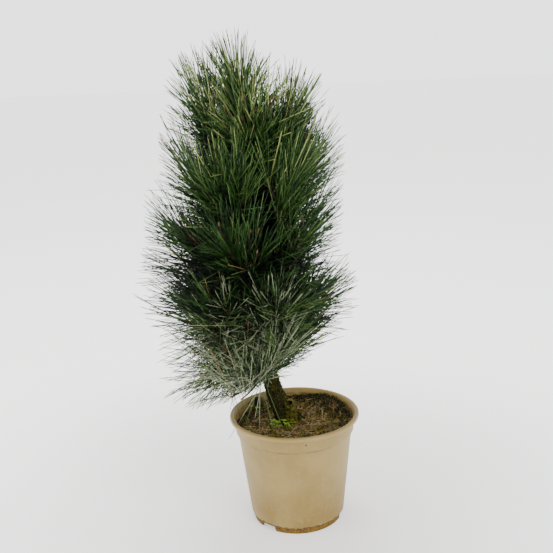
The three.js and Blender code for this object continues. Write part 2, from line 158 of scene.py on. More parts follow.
# Pot. One injection moulding in beige polypropylene: a thin tapered wall under a wider band and a
# rolled rim, on a notched foot ring. Handling has clouded it, and the foot is caked with dry mud.
POT_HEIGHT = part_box("pot")[1].z / MM
RIM_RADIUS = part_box("pot")[1].x / MM
WALL = 2.2
BEAD_FOOT = POT_HEIGHT - 8.5
BAND_RADIUS = 96.5
BAND_FOOT = 149
STEP_HEIGHT = 3.5
SHOULDER_RADIUS = 92
BODY_FOOT_RADIUS = 76.5
FOOT_RADIUS = 72.8
FOOT_HEIGHT = 11
FLOOR_LIFT = 8.5
PAD_RADIUS = 29
PAD_BEVEL = 4
NOTCH_AZIMUTHS = [228.5, 348.5, 108.5]
NOTCH_WIDTH = 26
NOTCH_HEIGHT = 7.5
NOTCH_SHOULDER = 2.5
DRAIN_COUNT = 6
DRAIN_RADIUS = 5
DRAIN_RING = 50
DRAIN_SIDES = 24
POT_SIDES = 360
LONGEST_STEP = 22
SHARP_CORNER = 50
LOW_WALL = (90, 25)
# Heights and reaches of the painted shade lines in the corners under the band and under the rim.
CORNER_PAINTED_SHADE = [(BAND_FOOT + 0.6, 1.5), (BEAD_FOOT + 0.2, 1.2)]
DARK_SPOT = (16, -95, 164)
DARK_SPOT_EDGE = (1.9, 1.2)
# Heights between which the mud sets in, before its ragged edge lifts them by up to MUD_RAGGED:
# first for its dark edge, then for the crust inside it.
MUD_RAGGED = 9
MUD_GRAIN = 7
MUD_EDGE = (8.3, 7.3)
MUD_CRUST = (7.1, 5.7)


def rough(points, size, octaves=3, seed=0.0):
    """Smooth noise from about -1 to 1 at each point, for bumps of about a size in millimetres."""
    offset = Vector((seed * 7.13, seed * 3.71, seed * 11.9))
    places = np.asarray(points).tolist()
    return np.array([noise.fractal(Vector(p) / size + offset, 0.55, 2.0, octaves) for p in places])


def rounded(corners, steps=5):
    """An outline of (radius, height) whose corners (radius, height, cut) are rounded off."""
    outline = []
    for i, (r, z, cut) in enumerate(corners):
        here = np.array([r, z], float)
        if cut == 0 or i in (0, len(corners) - 1):
            outline.append(here)
            continue
        before, after = (np.array(corners[i + k][:2], float) - here for k in (-1, 1))
        before *= min(cut, 0.45 * np.linalg.norm(before)) / np.linalg.norm(before)
        after *= min(cut, 0.45 * np.linalg.norm(after)) / np.linalg.norm(after)
        outline += [here + before * (1 - t) ** 2 + after * t**2 for t in np.linspace(0, 1, steps)]
    return np.array(outline)


def stretched(outline, longest):
    """The same outline with extra points, so that no step along it is longer than a size."""
    made = [outline[0]]
    for a, b in zip(outline[:-1], outline[1:]):
        count = max(1, math.ceil(np.linalg.norm(b - a) / longest))
        made += [a + (b - a) * k / count for k in range(1, count + 1)]
    return np.array(made)


def lathed(outline, sides):
    """Points and faces of an outline turned round the z axis. The outline starts and ends on it."""
    turns = np.linspace(0, 2 * np.pi, sides, endpoint=False)
    rings = outline[1:-1]
    points = [(0, 0, outline[0][1]), (0, 0, outline[-1][1])]
    points += [(r * c, r * s, z) for r, z in rings for c, s in zip(np.cos(turns), np.sin(turns))]
    at = lambda ring, side: 2 + ring * sides + side % sides
    last = len(rings) - 1
    faces = [(0, at(0, j + 1), at(0, j)) for j in range(sides)]
    faces += [(1, at(last, j), at(last, j + 1)) for j in range(sides)]
    for i in range(last):
        faces += [(at(i, j), at(i, j + 1), at(i + 1, j + 1), at(i + 1, j)) for j in range(sides)]
    return np.array(points, float), faces


def joined(parts):
    """Several lots of points and faces as one."""
    points, faces, count = [], [], 0
    for some_points, some_faces in parts:
        points.append(some_points)
        faces += [tuple(i + count for i in face) for face in some_faces]
        count += len(some_points)
    return np.vstack(points), faces


def punched(points, faces, punch_points, punch_faces):
    """Points and faces of a closed shape that another closed shape has been cut out of."""
    blanks = []
    for name, some_points, some_faces in (("blank", points, faces), ("punch", punch_points, punch_faces)):
        mesh = bpy.data.meshes.new(name)
        mesh.from_pydata(some_points.tolist(), [], some_faces)
        blanks.append(bpy.data.objects.new(name, mesh))
        link(blanks[-1])
    cut = blanks[0].modifiers.new("cut", "BOOLEAN")
    cut.object = blanks[1]
    cut.operation = "DIFFERENCE"
    made = bpy.data.meshes.new_from_object(blanks[0].evaluated_get(bpy.context.evaluated_depsgraph_get()))
    for blank in blanks:
        bpy.data.objects.remove(blank)
    return np.array([v.co[:] for v in made.vertices]), [tuple(face.vertices) for face in made.polygons]


def placed(made, slot, *nodes):
    """Lets a finished piece ride with the plant and stand for CAD nodes. Its slot is not used."""
    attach(made, "root")
    if nodes:
        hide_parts(*nodes)
    return made


def piece(name, points, faces, material, slot, *nodes):
    """A smooth piece from points in millimetres."""
    mesh = bpy.data.meshes.new(name)
    mesh.from_pydata((np.asarray(points) * MM).tolist(), [], faces)
    mesh.shade_smooth()
    mesh.materials.append(material)
    made = bpy.data.objects.new(name, mesh)
    link(made)
    return placed(made, slot, *nodes)


def material_of(name, roughness, specular=0.5):
    """A new material of one Principled shader with its tree, its shader and object coordinates."""
    material = bpy.data.materials.new(name)
    material.use_nodes = True
    tree = material.node_tree
    shader = tree.nodes["Principled BSDF"]
    feed(tree, shader, {"Roughness": roughness, "Specular IOR Level": specular})
    return material, tree, shader, add(tree, "ShaderNodeTexCoord").outputs["Object"]


def mottled(tree, place, under, over, size, low=0.42, high=0.62, detail=3.0, only=1.0):
    """A colour with another over it in patches of a size in millimetres, as strong as only says."""
    grain = add(tree, "ShaderNodeTexNoise", {"Vector": place, "Scale": 1 / (size * MM), "Detail": detail})
    share = {"Value": grain.outputs["Fac"], "From Min": low, "From Max": high, "To Max": only}
    share = add(tree, "ShaderNodeMapRange", share).outputs["Result"]
    return add(tree, "ShaderNodeMix", {0: share, 6: under, 7: over}, data_type="RGBA").outputs[2]


def finished(tree, shader, place, colour, size, depth, only=1.0):
    """Gives the shader its colour and a fine relief of a size and a depth in millimetres."""
    grain = add(tree, "ShaderNodeTexNoise", {"Vector": place, "Scale": 1 / (size * MM), "Detail": 5.0})
    relief = {"Height": grain.outputs["Fac"], "Distance": depth * MM, "Strength": only}
    relief = add(tree, "ShaderNodeBump", relief).outputs["Normal"]
    feed(tree, shader, {"Base Color": colour, "Normal": relief})


pot_outline = rounded(
    [
        (0, 0, 0),
        (PAD_RADIUS, 0, 1.5),
        (PAD_RADIUS + PAD_BEVEL, FLOOR_LIFT, 2),
        (FOOT_RADIUS - WALL, FLOOR_LIFT, 1.2),
        (FOOT_RADIUS - WALL, 0, 0.5),
        (FOOT_RADIUS, 0, 0.7),
        (FOOT_RADIUS + 0.8, FOOT_HEIGHT - 2, 1.2),
        (BODY_FOOT_RADIUS, FOOT_HEIGHT, 1.4),
        (SHOULDER_RADIUS, BAND_FOOT, 1.6),
        (BAND_RADIUS - 0.8, BAND_FOOT + STEP_HEIGHT, 1.0),
        (BAND_RADIUS, BEAD_FOOT, 1.0),
        (RIM_RADIUS - 2.2, BEAD_FOOT + 0.4, 1.4),
        (RIM_RADIUS, BEAD_FOOT + 3.4, 2.2),
        (RIM_RADIUS - 0.6, POT_HEIGHT - 1.6, 2.4),
        (RIM_RADIUS - 3.2, POT_HEIGHT, 2.0),
        (RIM_RADIUS - 6.4, POT_HEIGHT - 0.8, 2.4),
        (BAND_RADIUS - WALL, BEAD_FOOT - 1, 3),
        (BAND_RADIUS - 0.8 - WALL, BAND_FOOT + STEP_HEIGHT, 1),
        (SHOULDER_RADIUS - WALL, BAND_FOOT, 1),
        (BODY_FOOT_RADIUS - WALL, FOOT_HEIGHT + 1, 2),
        (FOOT_RADIUS - WALL - 1, FLOOR_LIFT + WALL, 1),
        (PAD_RADIUS + PAD_BEVEL - 1, FLOOR_LIFT + WALL, 2),
        (PAD_RADIUS - 1, WALL, 1),
        (0, WALL, 0),
    ]
)
pot_points, pot_faces = lathed(stretched(pot_outline, LONGEST_STEP), POT_SIDES)

# The foot's underside is lifted in three places, so that the ring is cut by notches.
azimuth = np.degrees(np.arctan2(pot_points[:, 1], pot_points[:, 0]))
lift = np.zeros(len(pot_points))
for middle in NOTCH_AZIMUTHS:
    along = np.radians(np.abs((azimuth - middle + 180) % 360 - 180)) * FOOT_RADIUS
    edge = np.clip((NOTCH_WIDTH / 2 + NOTCH_SHOULDER / 2 - along) / NOTCH_SHOULDER, 0, 1)
    lift = np.maximum(lift, NOTCH_HEIGHT * edge**2 * (3 - 2 * edge))
pot_radius = np.hypot(pot_points[:, 0], pot_points[:, 1])
on_foot = (pot_radius > FOOT_RADIUS - WALL - 0.4) & (pot_points[:, 2] < FOOT_HEIGHT)
pot_points[on_foot, 2] += (lift * (1 - pot_points[:, 2] / FOOT_HEIGHT))[on_foot]

# Six drain holes go through the floor, in a ring round the middle pad. They stand half a side of the
# wall's mesh on, so that no corner of a hole falls on an edge of the floor.
drain_outline = ((-1, 0), (-1, DRAIN_RADIUS), (2, DRAIN_RADIUS), (2, 0))
drain_outline = [(r, FLOOR_LIFT + WALL * up) for up, r in drain_outline]
drain_points, drain_faces = lathed(np.array(drain_outline), DRAIN_SIDES)
drain_turns = np.linspace(0, 2 * np.pi, DRAIN_COUNT, endpoint=False) + math.pi / POT_SIDES
drain_places = [(DRAIN_RING * math.cos(turn), DRAIN_RING * math.sin(turn), 0) for turn in drain_turns]
drains = joined([(drain_points + place, drain_faces) for place in drain_places])
pot_points, pot_faces = punched(pot_points, pot_faces, *drains)

# Moulded polypropylene: satin and opaque, clouded by age, yellower low down, scuffed in specks,
# with one dark spot in front. The mud on the foot is dull and grainy with a dark, uneven edge.
polypropylene, tree, shader, place = material_of("moulded_polypropylene", 0.5)
height = add(tree, "ShaderNodeSeparateXYZ", {"Vector": place}).outputs["Z"]
streaked = add(tree, "ShaderNodeMapping", {"Vector": place, "Scale": (1, 1, 0.06)}).outputs["Vector"]
to_spot = {0: place, 1: Vector(DARK_SPOT) * MM}
to_spot = add(tree, "ShaderNodeVectorMath", to_spot, operation="DISTANCE").outputs["Value"]
ragged = {"Vector": place, "Scale": 1 / (MUD_GRAIN * MM), "Detail": 5.0}
ragged = add(tree, "ShaderNodeTexNoise", ragged).outputs["Fac"]
mud_line = {0: ragged, 1: -MUD_RAGGED * MM, 2: height}
mud_line = add(tree, "ShaderNodeMath", mud_line, operation="MULTIPLY_ADD").outputs[0]
fades = ((height, LOW_WALL), (to_spot, DARK_SPOT_EDGE), (mud_line, MUD_EDGE), (mud_line, MUD_CRUST))
fades = [{"Value": value, "From Min": none * MM, "From Max": full * MM} for value, (none, full) in fades]
low_wall, spot, muddy, crusted = (add(tree, "ShaderNodeMapRange", fade).outputs["Result"] for fade in fades)
colour = mottled(tree, place, "#937c44", "#867038", 75, 0.38, 0.62)
colour = mottled(tree, place, colour, "#806624", 45, 0.3, 0.62, 3.0, low_wall)
colour = mottled(tree, streaked, colour, "#9c8652", 6, 0.55, 0.85, 2.0, 0.3)
colour = mottled(tree, place, colour, "#a18c5a", 8, 0.56, 0.8, 6.0, 0.4)
colour = mottled(tree, place, colour, "#6b572a", 2.0, 0.68, 0.8, 2.0, 0.7)
# Painted shade: a darker line is painted in the corner under the band and under the rolled rim.
for corner_z, reach in CORNER_PAINTED_SHADE:
    at_corner = add(tree, "ShaderNodeMath", {0: height, 1: corner_z * MM, 2: reach * MM}, operation="COMPARE")
    colour = mottled(tree, place, colour, "#6a5426", 12, 0.3, 0.6, 3.0, at_corner.outputs[0])
mud = mottled(tree, place, "#3f2d08", "#80601a", 2.2, 0.38, 0.58, 6.0)
for share, over in ((spot, "#3a2c16"), (muddy, "#3f2f0e"), (crusted, mud)):
    colour = add(tree, "ShaderNodeMix", {0: share, 6: colour, 7: over}, data_type="RGBA").outputs[2]
dulled, relief = (
    add(tree, "ShaderNodeMapRange", {"Value": muddy, "To Min": clean, "To Max": caked}).outputs["Result"]
    for clean, caked in ((0.48, 0.95), (0.06, 1.0))
)
feed(tree, shader, {"Roughness": dulled})
finished(tree, shader, place, colour, 1.4, 1.0, relief)
pot = piece("nursery_pot", pot_points, pot_faces, polypropylene, "pot_plastic", "pot")
pot.data.set_sharp_from_angle(angle=math.radians(SHARP_CORNER))


# Substrate. Damp bark mulch, level with a finger's width under the rim, with moss over the far
# right side and old litter on the left. It fills the pot and was pressed down round the trunk.
SOIL_LEVEL = 165
SOIL_RELIEF = 5
TRUNK_FOOT = (-9, -2)
SOIL_FLAT_TO = 44
SOIL_UNEVEN_FROM = 76
SOIL_RINGS = 84
SOIL_SIDES = 300
SOIL_FLOOR = FLOOR_LIFT + WALL + 0.3
MOSSY_BANK = (40, 58, 8, 40)


def ease(value, low, high):
    """0 below low, 1 above high, and a smooth rise between them."""
    share = np.clip((np.asarray(value, float) - low) / (high - low), 0, 1)
    return share * share * (3 - 2 * share)


def soil_height(x, y):
    """Height of the substrate without its crumbs."""
    x, y = np.asarray(x, float), np.asarray(y, float)
    away = ease(np.hypot(x - TRUNK_FOOT[0], y - TRUNK_FOOT[1]), SOIL_FLAT_TO, SOIL_UNEVEN_FROM)
    swell = 0.35 * np.sin(x / 17 + 1) * np.cos(y / 21) + 0.25 * np.sin(y / 13 - x / 31)
    bank_x, bank_y, bank_height, bank_reach = MOSSY_BANK
    bank = bank_height * np.exp(-((x - bank_x) ** 2 + (y - bank_y) ** 2) / bank_reach**2)
    return SOIL_LEVEL + SOIL_RELIEF * away * (x / 110 + swell) + bank


def pot_inside(z):
    """Radius of the inside of the pot's wall at a height."""
    body = np.interp(z, [FOOT_HEIGHT, BAND_FOOT], [BODY_FOOT_RADIUS, SHOULDER_RADIUS])
    return float(np.where(z > BAND_FOOT + STEP_HEIGHT, BAND_RADIUS - 0.8, body) - WALL)


soil_edge = pot_inside(SOIL_LEVEL) - 0.2
soil_outline = np.array(
    [(0, WALL + 0.3), (PAD_RADIUS - 2, WALL + 0.3), (PAD_RADIUS + PAD_BEVEL - 2, SOIL_FLOOR)]
    + [(FOOT_RADIUS - WALL - 1.4, SOIL_FLOOR), (pot_inside(20) - 0.3, 20)]
    + [(pot_inside(BAND_FOOT) - 0.3, BAND_FOOT), (soil_edge, BAND_FOOT + STEP_HEIGHT + 3)]
    + [(r, SOIL_LEVEL) for r in np.linspace(soil_edge, 0, SOIL_RINGS)]
)
soil_points, soil_faces = lathed(soil_outline, SOIL_SIDES)
is_top = np.isclose(soil_points[:, 2], SOIL_LEVEL)
top = soil_points[is_top]
top[:, 2] = soil_height(top[:, 0], top[:, 1])
lumps = rough(top, 9, 4, 1.0) * 2.2 + np.abs(rough(top, 4, 2, 2.0)) * 1.6
inside = ease(soil_edge - np.hypot(top[:, 0], top[:, 1]), 0, 6)
top[:, 2] += lumps * (0.35 + 0.65 * inside)
soil_points[is_top] = top

# Bark mulch: matt and crumbly, nearly black where it is damp, olive where algae and moss cover it.
mulch, tree, shader, place = material_of("damp_bark_mulch", 0.95)
colour = mottled(tree, place, "#120e07", "#42331a", 5, 0.38, 0.62, 6.0)
colour = mottled(tree, place, colour, "#5c5320", 13, 0.42, 0.58, 4.0)
colour = mottled(tree, place, colour, "#8a7340", 3, 0.54, 0.66, 3.0)
finished(tree, shader, place, colour, 1.2, 1.6)
piece("substrate", soil_points, soil_faces, mulch, "substrate", "soil")


# Moss, crumbs, litter and seedlings on the substrate. Everything small here is one shape laid on
# many seats: moss leaflets in cushions, bark crumbs, fallen needles and stems, and weed leaves.
growth_tree = bpy.data.node_groups.new("copies_on_seats", "GeometryNodeTree")
for label, kind in (
    ("Seats", "Geometry"),
    ("Template", "Object"),
    ("Width", "Float"),
    ("Thickness", "Float"),
    ("Material", "Material"),
):
    growth_tree.interface.new_socket(label, in_out="INPUT", socket_type=f"NodeSocket{kind}")
growth_tree.interface.new_socket("Copies", in_out="OUTPUT", socket_type="NodeSocketGeometry")
entry = add(growth_tree, "NodeGroupInput").outputs
heading, side, bend, length, along = (
    add(growth_tree, "GeometryNodeInputNamedAttribute", {"Name": label}, data_type=kind).outputs["Attribute"]
    for label, kind in (
        ("heading", "FLOAT_VECTOR"),
        ("side", "FLOAT_VECTOR"),
        ("bend", "FLOAT_VECTOR"),
        ("length", "FLOAT"),
        ("along", "FLOAT"),
    )
)
turned = add(growth_tree, "FunctionNodeAlignRotationToVector", {"Vector": heading}, axis="Z")
turned = {"Rotation": turned.outputs["Rotation"], "Vector": side}
turned = add(growth_tree, "FunctionNodeAlignRotationToVector", turned, axis="X", pivot_axis="Z")
size = add(growth_tree, "ShaderNodeCombineXYZ", {"X": entry["Width"], "Y": entry["Thickness"], "Z": length})
shape = add(growth_tree, "GeometryNodeObjectInfo", {"Object": entry["Template"]})
copies = {"Points": entry["Seats"], "Instance": shape.outputs["Geometry"]}
copies.update({"Rotation": turned.outputs["Rotation"], "Scale": size.outputs["Vector"]})
copies = add(growth_tree, "GeometryNodeInstanceOnPoints", copies)
copies = add(growth_tree, "GeometryNodeRealizeInstances", {"Geometry": copies.outputs["Instances"]})
sag = add(growth_tree, "ShaderNodeMath", {0: along, 1: 2.0}, operation="POWER")
sag = add(growth_tree, "ShaderNodeMath", {0: sag.outputs[0], 1: length}, operation="MULTIPLY")
sag = add(growth_tree, "ShaderNodeVectorMath", {"Vector": bend, "Scale": sag.outputs[0]}, operation="SCALE")
copies = {"Geometry": copies.outputs["Geometry"], "Offset": sag.outputs["Vector"]}
copies = add(growth_tree, "GeometryNodeSetPosition", copies)
copies = {"Geometry": copies.outputs["Geometry"], "Material": entry["Material"]}
copies = add(growth_tree, "GeometryNodeSetMaterial", copies)
add(growth_tree, "NodeGroupOutput", {"Copies": copies.outputs["Geometry"]})


def grown(name, seats, template, material, slot, width, thickness, *nodes):
    """A piece with a copy of a template on every seat. Width and thickness are in millimetres."""
    cloud = bpy.data.meshes.new(name + "_seats")
    cloud.from_pydata((seats["root"] * MM).tolist(), [], [])
    for label in ("heading", "side", "bend"):
        stored = cloud.attributes.new(label, "FLOAT_VECTOR", "POINT")
        stored.data.foreach_set("vector", np.ascontiguousarray(seats[label], np.float32).ravel())
    stored = cloud.attributes.new("length", "FLOAT", "POINT")
    stored.data.foreach_set("value", np.asarray(seats["length"] * MM, np.float32))
    made = bpy.data.objects.new(name, cloud)
    link(made)
    modifier = made.modifiers.new("grow", "NODES")
    modifier.node_group = growth_tree
    inputs = {"Template": template, "Width": width * MM, "Thickness": thickness * MM, "Material": material}
    for item in growth_tree.interface.items_tree:
        if item.name in inputs:
            modifier[item.identifier] = inputs[item.name]
    mesh = bpy.data.meshes.new_from_object(made.evaluated_get(bpy.context.evaluated_depsgraph_get()))
    made.modifiers.clear()
    made.data = mesh
    mesh.name = name
    for label in ("heading", "side", "bend", "length", "along"):
        if label in mesh.attributes:
            mesh.attributes.remove(mesh.attributes[label])
    mesh.shade_smooth()
    return placed(made, slot, *nodes)


def template_of(name, rings, sides, hollow=0.0):
    """A shape one unit long up z from rings of (share along, radius), bowed sideways by hollow."""
    turns = np.linspace(0, 2 * np.pi, sides, endpoint=False) + np.pi / 2
    points = [(r * np.cos(t), r * np.sin(t) + hollow * (z - z * z), z) for z, r in rings for t in turns]
    points.append((0, 0, 1))
    last = (len(rings) - 1) * sides
    faces = [tuple(reversed(range(sides)))]
    for i in range(0, last, sides):
        for j in range(sides):
            after = (j + 1) % sides
            faces.append((i + j, i + after, i + sides + after, i + sides + j))
    faces += [(last + j, last + (j + 1) % sides, len(points) - 1) for j in range(sides)]
    mesh = bpy.data.meshes.new(name)
    mesh.from_pydata(points, [], faces)
    mesh.attributes.new("along", "FLOAT", "POINT").data.foreach_set("value", [p[2] for p in points])
    template = bpy.data.objects.new(name, mesh)
    template.hide_render = True
    return template


def unit(vectors):
    """The vectors at length 1."""
    return vectors / np.maximum(np.linalg.norm(vectors, axis=-1, keepdims=True), 1e-9)


def seats_at(root, heading, length, bend, dice):
    """Seats for copies: where each stands, where it points, how long it is and how it bends."""
    side = unit(dice.normal(0, 1, (len(root), 3)))
    return dict(root=root, heading=unit(heading), side=side, bend=bend, length=length)


def plain_coat(name, hex_colour, roughness, specular=0.5):
    """A material of one plain colour, for small things whose colours are dealt out one by one."""
    material, tree, shader, _ = material_of(name, roughness, specular)
    feed(tree, shader, {"Base Color": hex_colour})
    return material


def dealt(name, coat_name, coats, pick, seats, look, *making):
    """A piece for each coat, (label, hex colour, from, to), on the seats that pick a number there."""
    for label, hex_colour, low, high in coats:
        chosen = (pick >= low) & (pick < high)
        part = {key: value[chosen] for key, value in seats.items()}
        template, *rest = making
        coat = plain_coat(coat_name.format(label), hex_colour, *look)
        grown(name.format(label), part, template, coat, *rest)


def on_soil(x, y, sink=0.5):
    """Points on the substrate's surface, sunk into it by a little."""
    return np.stack([x, y, soil_height(x, y) - sink], -1)


def scattered(count, within, keep_out=18):
    """Random places on the substrate within a radius and off the trunk's foot."""
    spot = np.sqrt(dice.uniform(0, 1, count)) * within
    turn = dice.uniform(0, 2 * np.pi, count)
    x, y = spot * np.cos(turn), spot * np.sin(turn)
    clear = np.hypot(x - TRUNK_FOOT[0], y - TRUNK_FOOT[1]) > keep_out
    return x[clear], y[clear]


LEAFLET_COUNT = 5200
LEAST_CUSHION = 0.12
MOSS_COATS = [("dark", "#141706", 0.66, 9), ("olive", "#4c4914", 0.36, 0.66), ("bright", "#84792a", -1, 0.36)]
CRUMB_COUNT = 1500
CRUMB_COATS = [("black", "#17110a", 0, 1), ("brown", "#4b3518", 1, 2), ("tan", "#80683c", 2, 3)]
leaflet_shape = template_of("leaflet_shape", [(0, 0.5), (0.45, 0.42)], 3)
crumb_shape = template_of("crumb_shape", [(0, 0.34), (0.3, 0.62), (0.75, 0.5)], 5)
stalk_shape = template_of("stalk_shape", [(0, 0.5), (0.25, 0.5), (0.5, 0.5), (0.75, 0.45)], 4)
leaf_shape = template_of("leaf_shape", [(0, 0.1), (0.25, 0.42), (0.55, 0.5), (0.85, 0.3)], 6, 0.5)
dice = np.random.default_rng(11)

x, y = scattered(LEAFLET_COUNT * 3, soil_edge - 2.5)
cushions = rough(on_soil(x, y, 0), 16, 2, 8.0) + 0.5 * ease(x + 0.6 * y, 20, 90) - 0.15 * ease(-x, 0, 60)
mossy = cushions > LEAST_CUSHION
x, y, cushions = (values[mossy][:LEAFLET_COUNT] for values in (x, y, cushions))
root = on_soil(x, y, -1.6 * ease(cushions, 0.1, 0.6))
heading = np.stack([dice.normal(0, 0.5, len(x)), dice.normal(0, 0.5, len(x)), np.full(len(x), 0.9)], -1)
moss_seats = seats_at(root, heading, dice.uniform(2.2, 4.6, len(x)), dice.normal(0, 0.15, (len(x), 3)), dice)
moss_pick = dice.uniform(0, 1, len(x)) + 0.5 * ease(x + 0.8 * y, 30, 100)
moss_making = (leaflet_shape, "substrate", 1.3, 0.7)
dealt("moss_{}", "moss_{}", MOSS_COATS, moss_pick, moss_seats, (0.8, 0.2), *moss_making)

x, y = scattered(CRUMB_COUNT, soil_edge - 3)
heading = dice.normal(0, 1, (len(x), 3)) * (1, 1, 0.35)
sizes = dice.uniform(2.2, 6.5, len(x)) * dice.uniform(0.6, 1, len(x))
crumb_seats = seats_at(on_soil(x, y, 0.2), heading, sizes, np.zeros((len(x), 3)), dice)
crumb_pick = dice.integers(0, 3, len(x))
crumb_making = (crumb_shape, "substrate", 2.6, 1.9)
dealt("bark_crumbs_{}", "bark_crumb_{}", CRUMB_COATS, crumb_pick, crumb_seats, (0.9, 0.3), *crumb_making)

# Fallen needles and stems: dry and straw-brown, lying flat and crossing. The longest are given
# as lines of ground points from one end to the other, and each line is laid in straight lengths.
LITTER_COUNT = 330
LITTER_COATS = [("straw", "#ab9058", 0, 1), ("brown", "#7c5a30", 1, 2), ("grey", "#867c56", 2, 3)]
DRY_STEMS = [
    [(-68, -34), (-31, -42), (-14, -69)],
    [(-39, -60), (-24, -68)],
    [(-11, -69), (2, -30), (9, 2)],
    [(20, 27), (48, 57)],
    [(52, 44), (74, 18)],
    [(25, -10), (36, 13), (69, 14)],
    [(7, -71), (17, -50)],
    [(30, -40), (62, -22), (80, 8)],
    [(14, -28), (44, -34), (70, -30)],
    [(-60, 8), (-42, 26), (-22, 40)],
    [(18, 60), (46, 34)],
]
x, y = scattered(LITTER_COUNT, soil_edge - 14, 22)
x, y = np.clip(x + 4, -76, 74), y - 4
turn = dice.uniform(0, 2 * np.pi, len(x))
litter_length = dice.uniform(14, 46, len(x))
end = on_soil(x + np.cos(turn) * litter_length, y + np.sin(turn) * litter_length, -1.2)
start = on_soil(x, y, -0.8)
inside = np.hypot(end[:, 0], end[:, 1]) < soil_edge - 2
start, end = start[inside], end[inside]
laid = [(on_soil(*a, -2.0), on_soil(*b, -2.6)) for line in DRY_STEMS for a, b in zip(line[:-1], line[1:])]
bend = np.vstack([dice.normal(0, 0.09, (len(start), 3)) * (1, 1, 0.2), np.zeros((len(laid), 3))])
start, end = (np.vstack([found, ends]) for found, ends in zip((start, end), zip(*laid)))
litter_seats = seats_at(start, end - start, np.linalg.norm(end - start, axis=1), bend, dice)
litter_pick = dice.integers(0, 3, len(start))
litter_making = (stalk_shape, "substrate", 1.35, 1.1)
dealt("litter_{}", "dry_{}_litter", LITTER_COATS, litter_pick, litter_seats, (0.7, 0.3), *litter_making)

# Weed seedlings, as (x, y, height): soft oval leaves on thread-thin pale stalks. Those taller than
# FOUR_LEAVES have four leaves, and the others a pair.
SEEDLINGS = [(-72, 44, 13), (-60, 32, 12), (-33, -16, 7), (-25, -32, 6), (-16, -21, 9), (-8, -37, 6)]
SEEDLINGS += [(-20, -9, 7), (-28, -24, 8), (-13, -30, 7), (-73, -42, 4), (-38, -27, 5), (-4, -27, 6)]
FOUR_LEAVES = 6
stalks, leaves = [], []
for x, y, tall in SEEDLINGS:
    foot = on_soil(x, y, 0.5)
    top = foot + np.array([dice.normal(0, 1.5), dice.normal(0, 1.5) - 1, tall])
    stalks.append((foot, top - foot, float(np.linalg.norm(top - foot))))
    turn = dice.uniform(0, math.pi)
    count = 4 if tall > FOUR_LEAVES else 2
    for k in range(count):
        away = turn + k * 2 * math.pi / count
        leaves.append((top, np.array([math.cos(away), math.sin(away), 0.45]), dice.uniform(4.5, 7.5)))
for name, parts, shape, hex_colour, width, thickness in (
    ("seedling_stalks", stalks, stalk_shape, "#9bab5e", 0.9, 0.9),
    ("seedling_leaves", leaves, leaf_shape, "#6f8f12", 4.6, 0.9),
):
    root, heading, length = (np.array(values) for values in zip(*parts))
    leaf_seats = seats_at(root, heading, length, np.tile((0, 0, -0.25), (len(root), 1)), dice)
    leaf_seats["side"] = np.cross(leaf_seats["heading"], (0, 0, 1)) + (1e-3, 0, 0)
    coat = plain_coat(name + "_green", hex_colour, 0.55)
    grown(name, leaf_seats, shape, coat, "substrate", width, thickness)

# A dead curled leaf, leathery and nearly black, standing against the wall at the far left. Its two
# faces are one closed strip of points, which runs out along one face and back along the other.
LEAF_PLACE = (-60, 57, 164)
LEAF_HEIGHT = 17
LEAF_CURL = 2.2
LEAF_RADIUS = 5.6
LEAF_OPENING = 1.6
LEAF_HALF_THICKNESS = 0.35
LEAF_COLUMNS = 25
LEAF_ROWS = 13
curl_points = []
for v in np.linspace(0, 1, LEAF_ROWS):
    taper = math.sin(math.pi * (0.16 + 0.78 * v)) ** 0.5
    for face_side in (1, -1):
        for t in face_side * np.linspace(-LEAF_CURL, LEAF_CURL, LEAF_COLUMNS):
            r = LEAF_RADIUS + LEAF_OPENING * v + 0.5 * math.sin(3 * t + 4 * v)
            r += LEAF_HALF_THICKNESS * face_side
            curl_points.append((r * math.sin(t * taper), r * math.cos(t * taper) * 0.8, LEAF_HEIGHT * v))
loop = 2 * LEAF_COLUMNS
top_row = (LEAF_ROWS - 1) * loop
curl_faces = []
for i in range(0, top_row, loop):
    for j in range(loop):
        quad = [i + j, i + loop + j, i + loop + (j + 1) % loop, i + (j + 1) % loop]
        # A quad's first corner decides how it is split, and the way back starts one corner earlier.
        curl_faces.append(quad if j < LEAF_COLUMNS else quad[-1:] + quad[:-1])
for j in range(LEAF_COLUMNS - 1):
    rim = (j, j + 1, loop - 2 - j, loop - 1 - j)
    curl_faces += [rim, [top_row + rim[k] for k in (0, 3, 2, 1)]]
leathery, tree, shader, place = material_of("dead_leathery_leaf", 0.6)
finished(tree, shader, place, mottled(tree, place, "#1d150c", "#3c2a16", 4), 2.0, 0.5)
piece("dead_leaf", np.array(curl_points) + LEAF_PLACE, curl_faces, leathery, "substrate")


# Trunk. The stem is thumb-thick at the foot, leans left out of the substrate and turns upright.
# Its old bark is cracked lengthwise and furred with moss; higher up it is young and scaly.
TRUNK_LEAN = 34
TRUNK_LEAN_HEIGHT = 60
TRUNK_DRIFT = 0.036
TRUNK_SWEEP_BACK = 7
TRUNK_START_Z = SOIL_LEVEL - 6
TRUNK_TIP_Z = 585
LEADER_TIP_Z = 690
TRUNK_FOOT_RADIUS = 15.2
TRUNK_TIP_RADIUS = 3.4
TRUNK_TAPER = 1.25
ROOT_FLARE = 5
ROOT_FLARE_HEIGHT = 11
ROOT_LOBES = 3
ROOT_LOBE_SHARE = 0.13
ROOT_LOBE_HEIGHT = 22
TRUNK_SIDES = 110
TRUNK_RINGS = 420
PLATE_SIZE = 5.5
PLATE_RELIEF = 1.7
CRACK_WIDTH = 0.12
CRACK_DEPTH = 1.6
CRUST_SIZE = 2.4
CRUST_RELIEF = 0.55
MOSS_TOP = 300
RIGHTWARD = np.array([1.0, 0, 0])


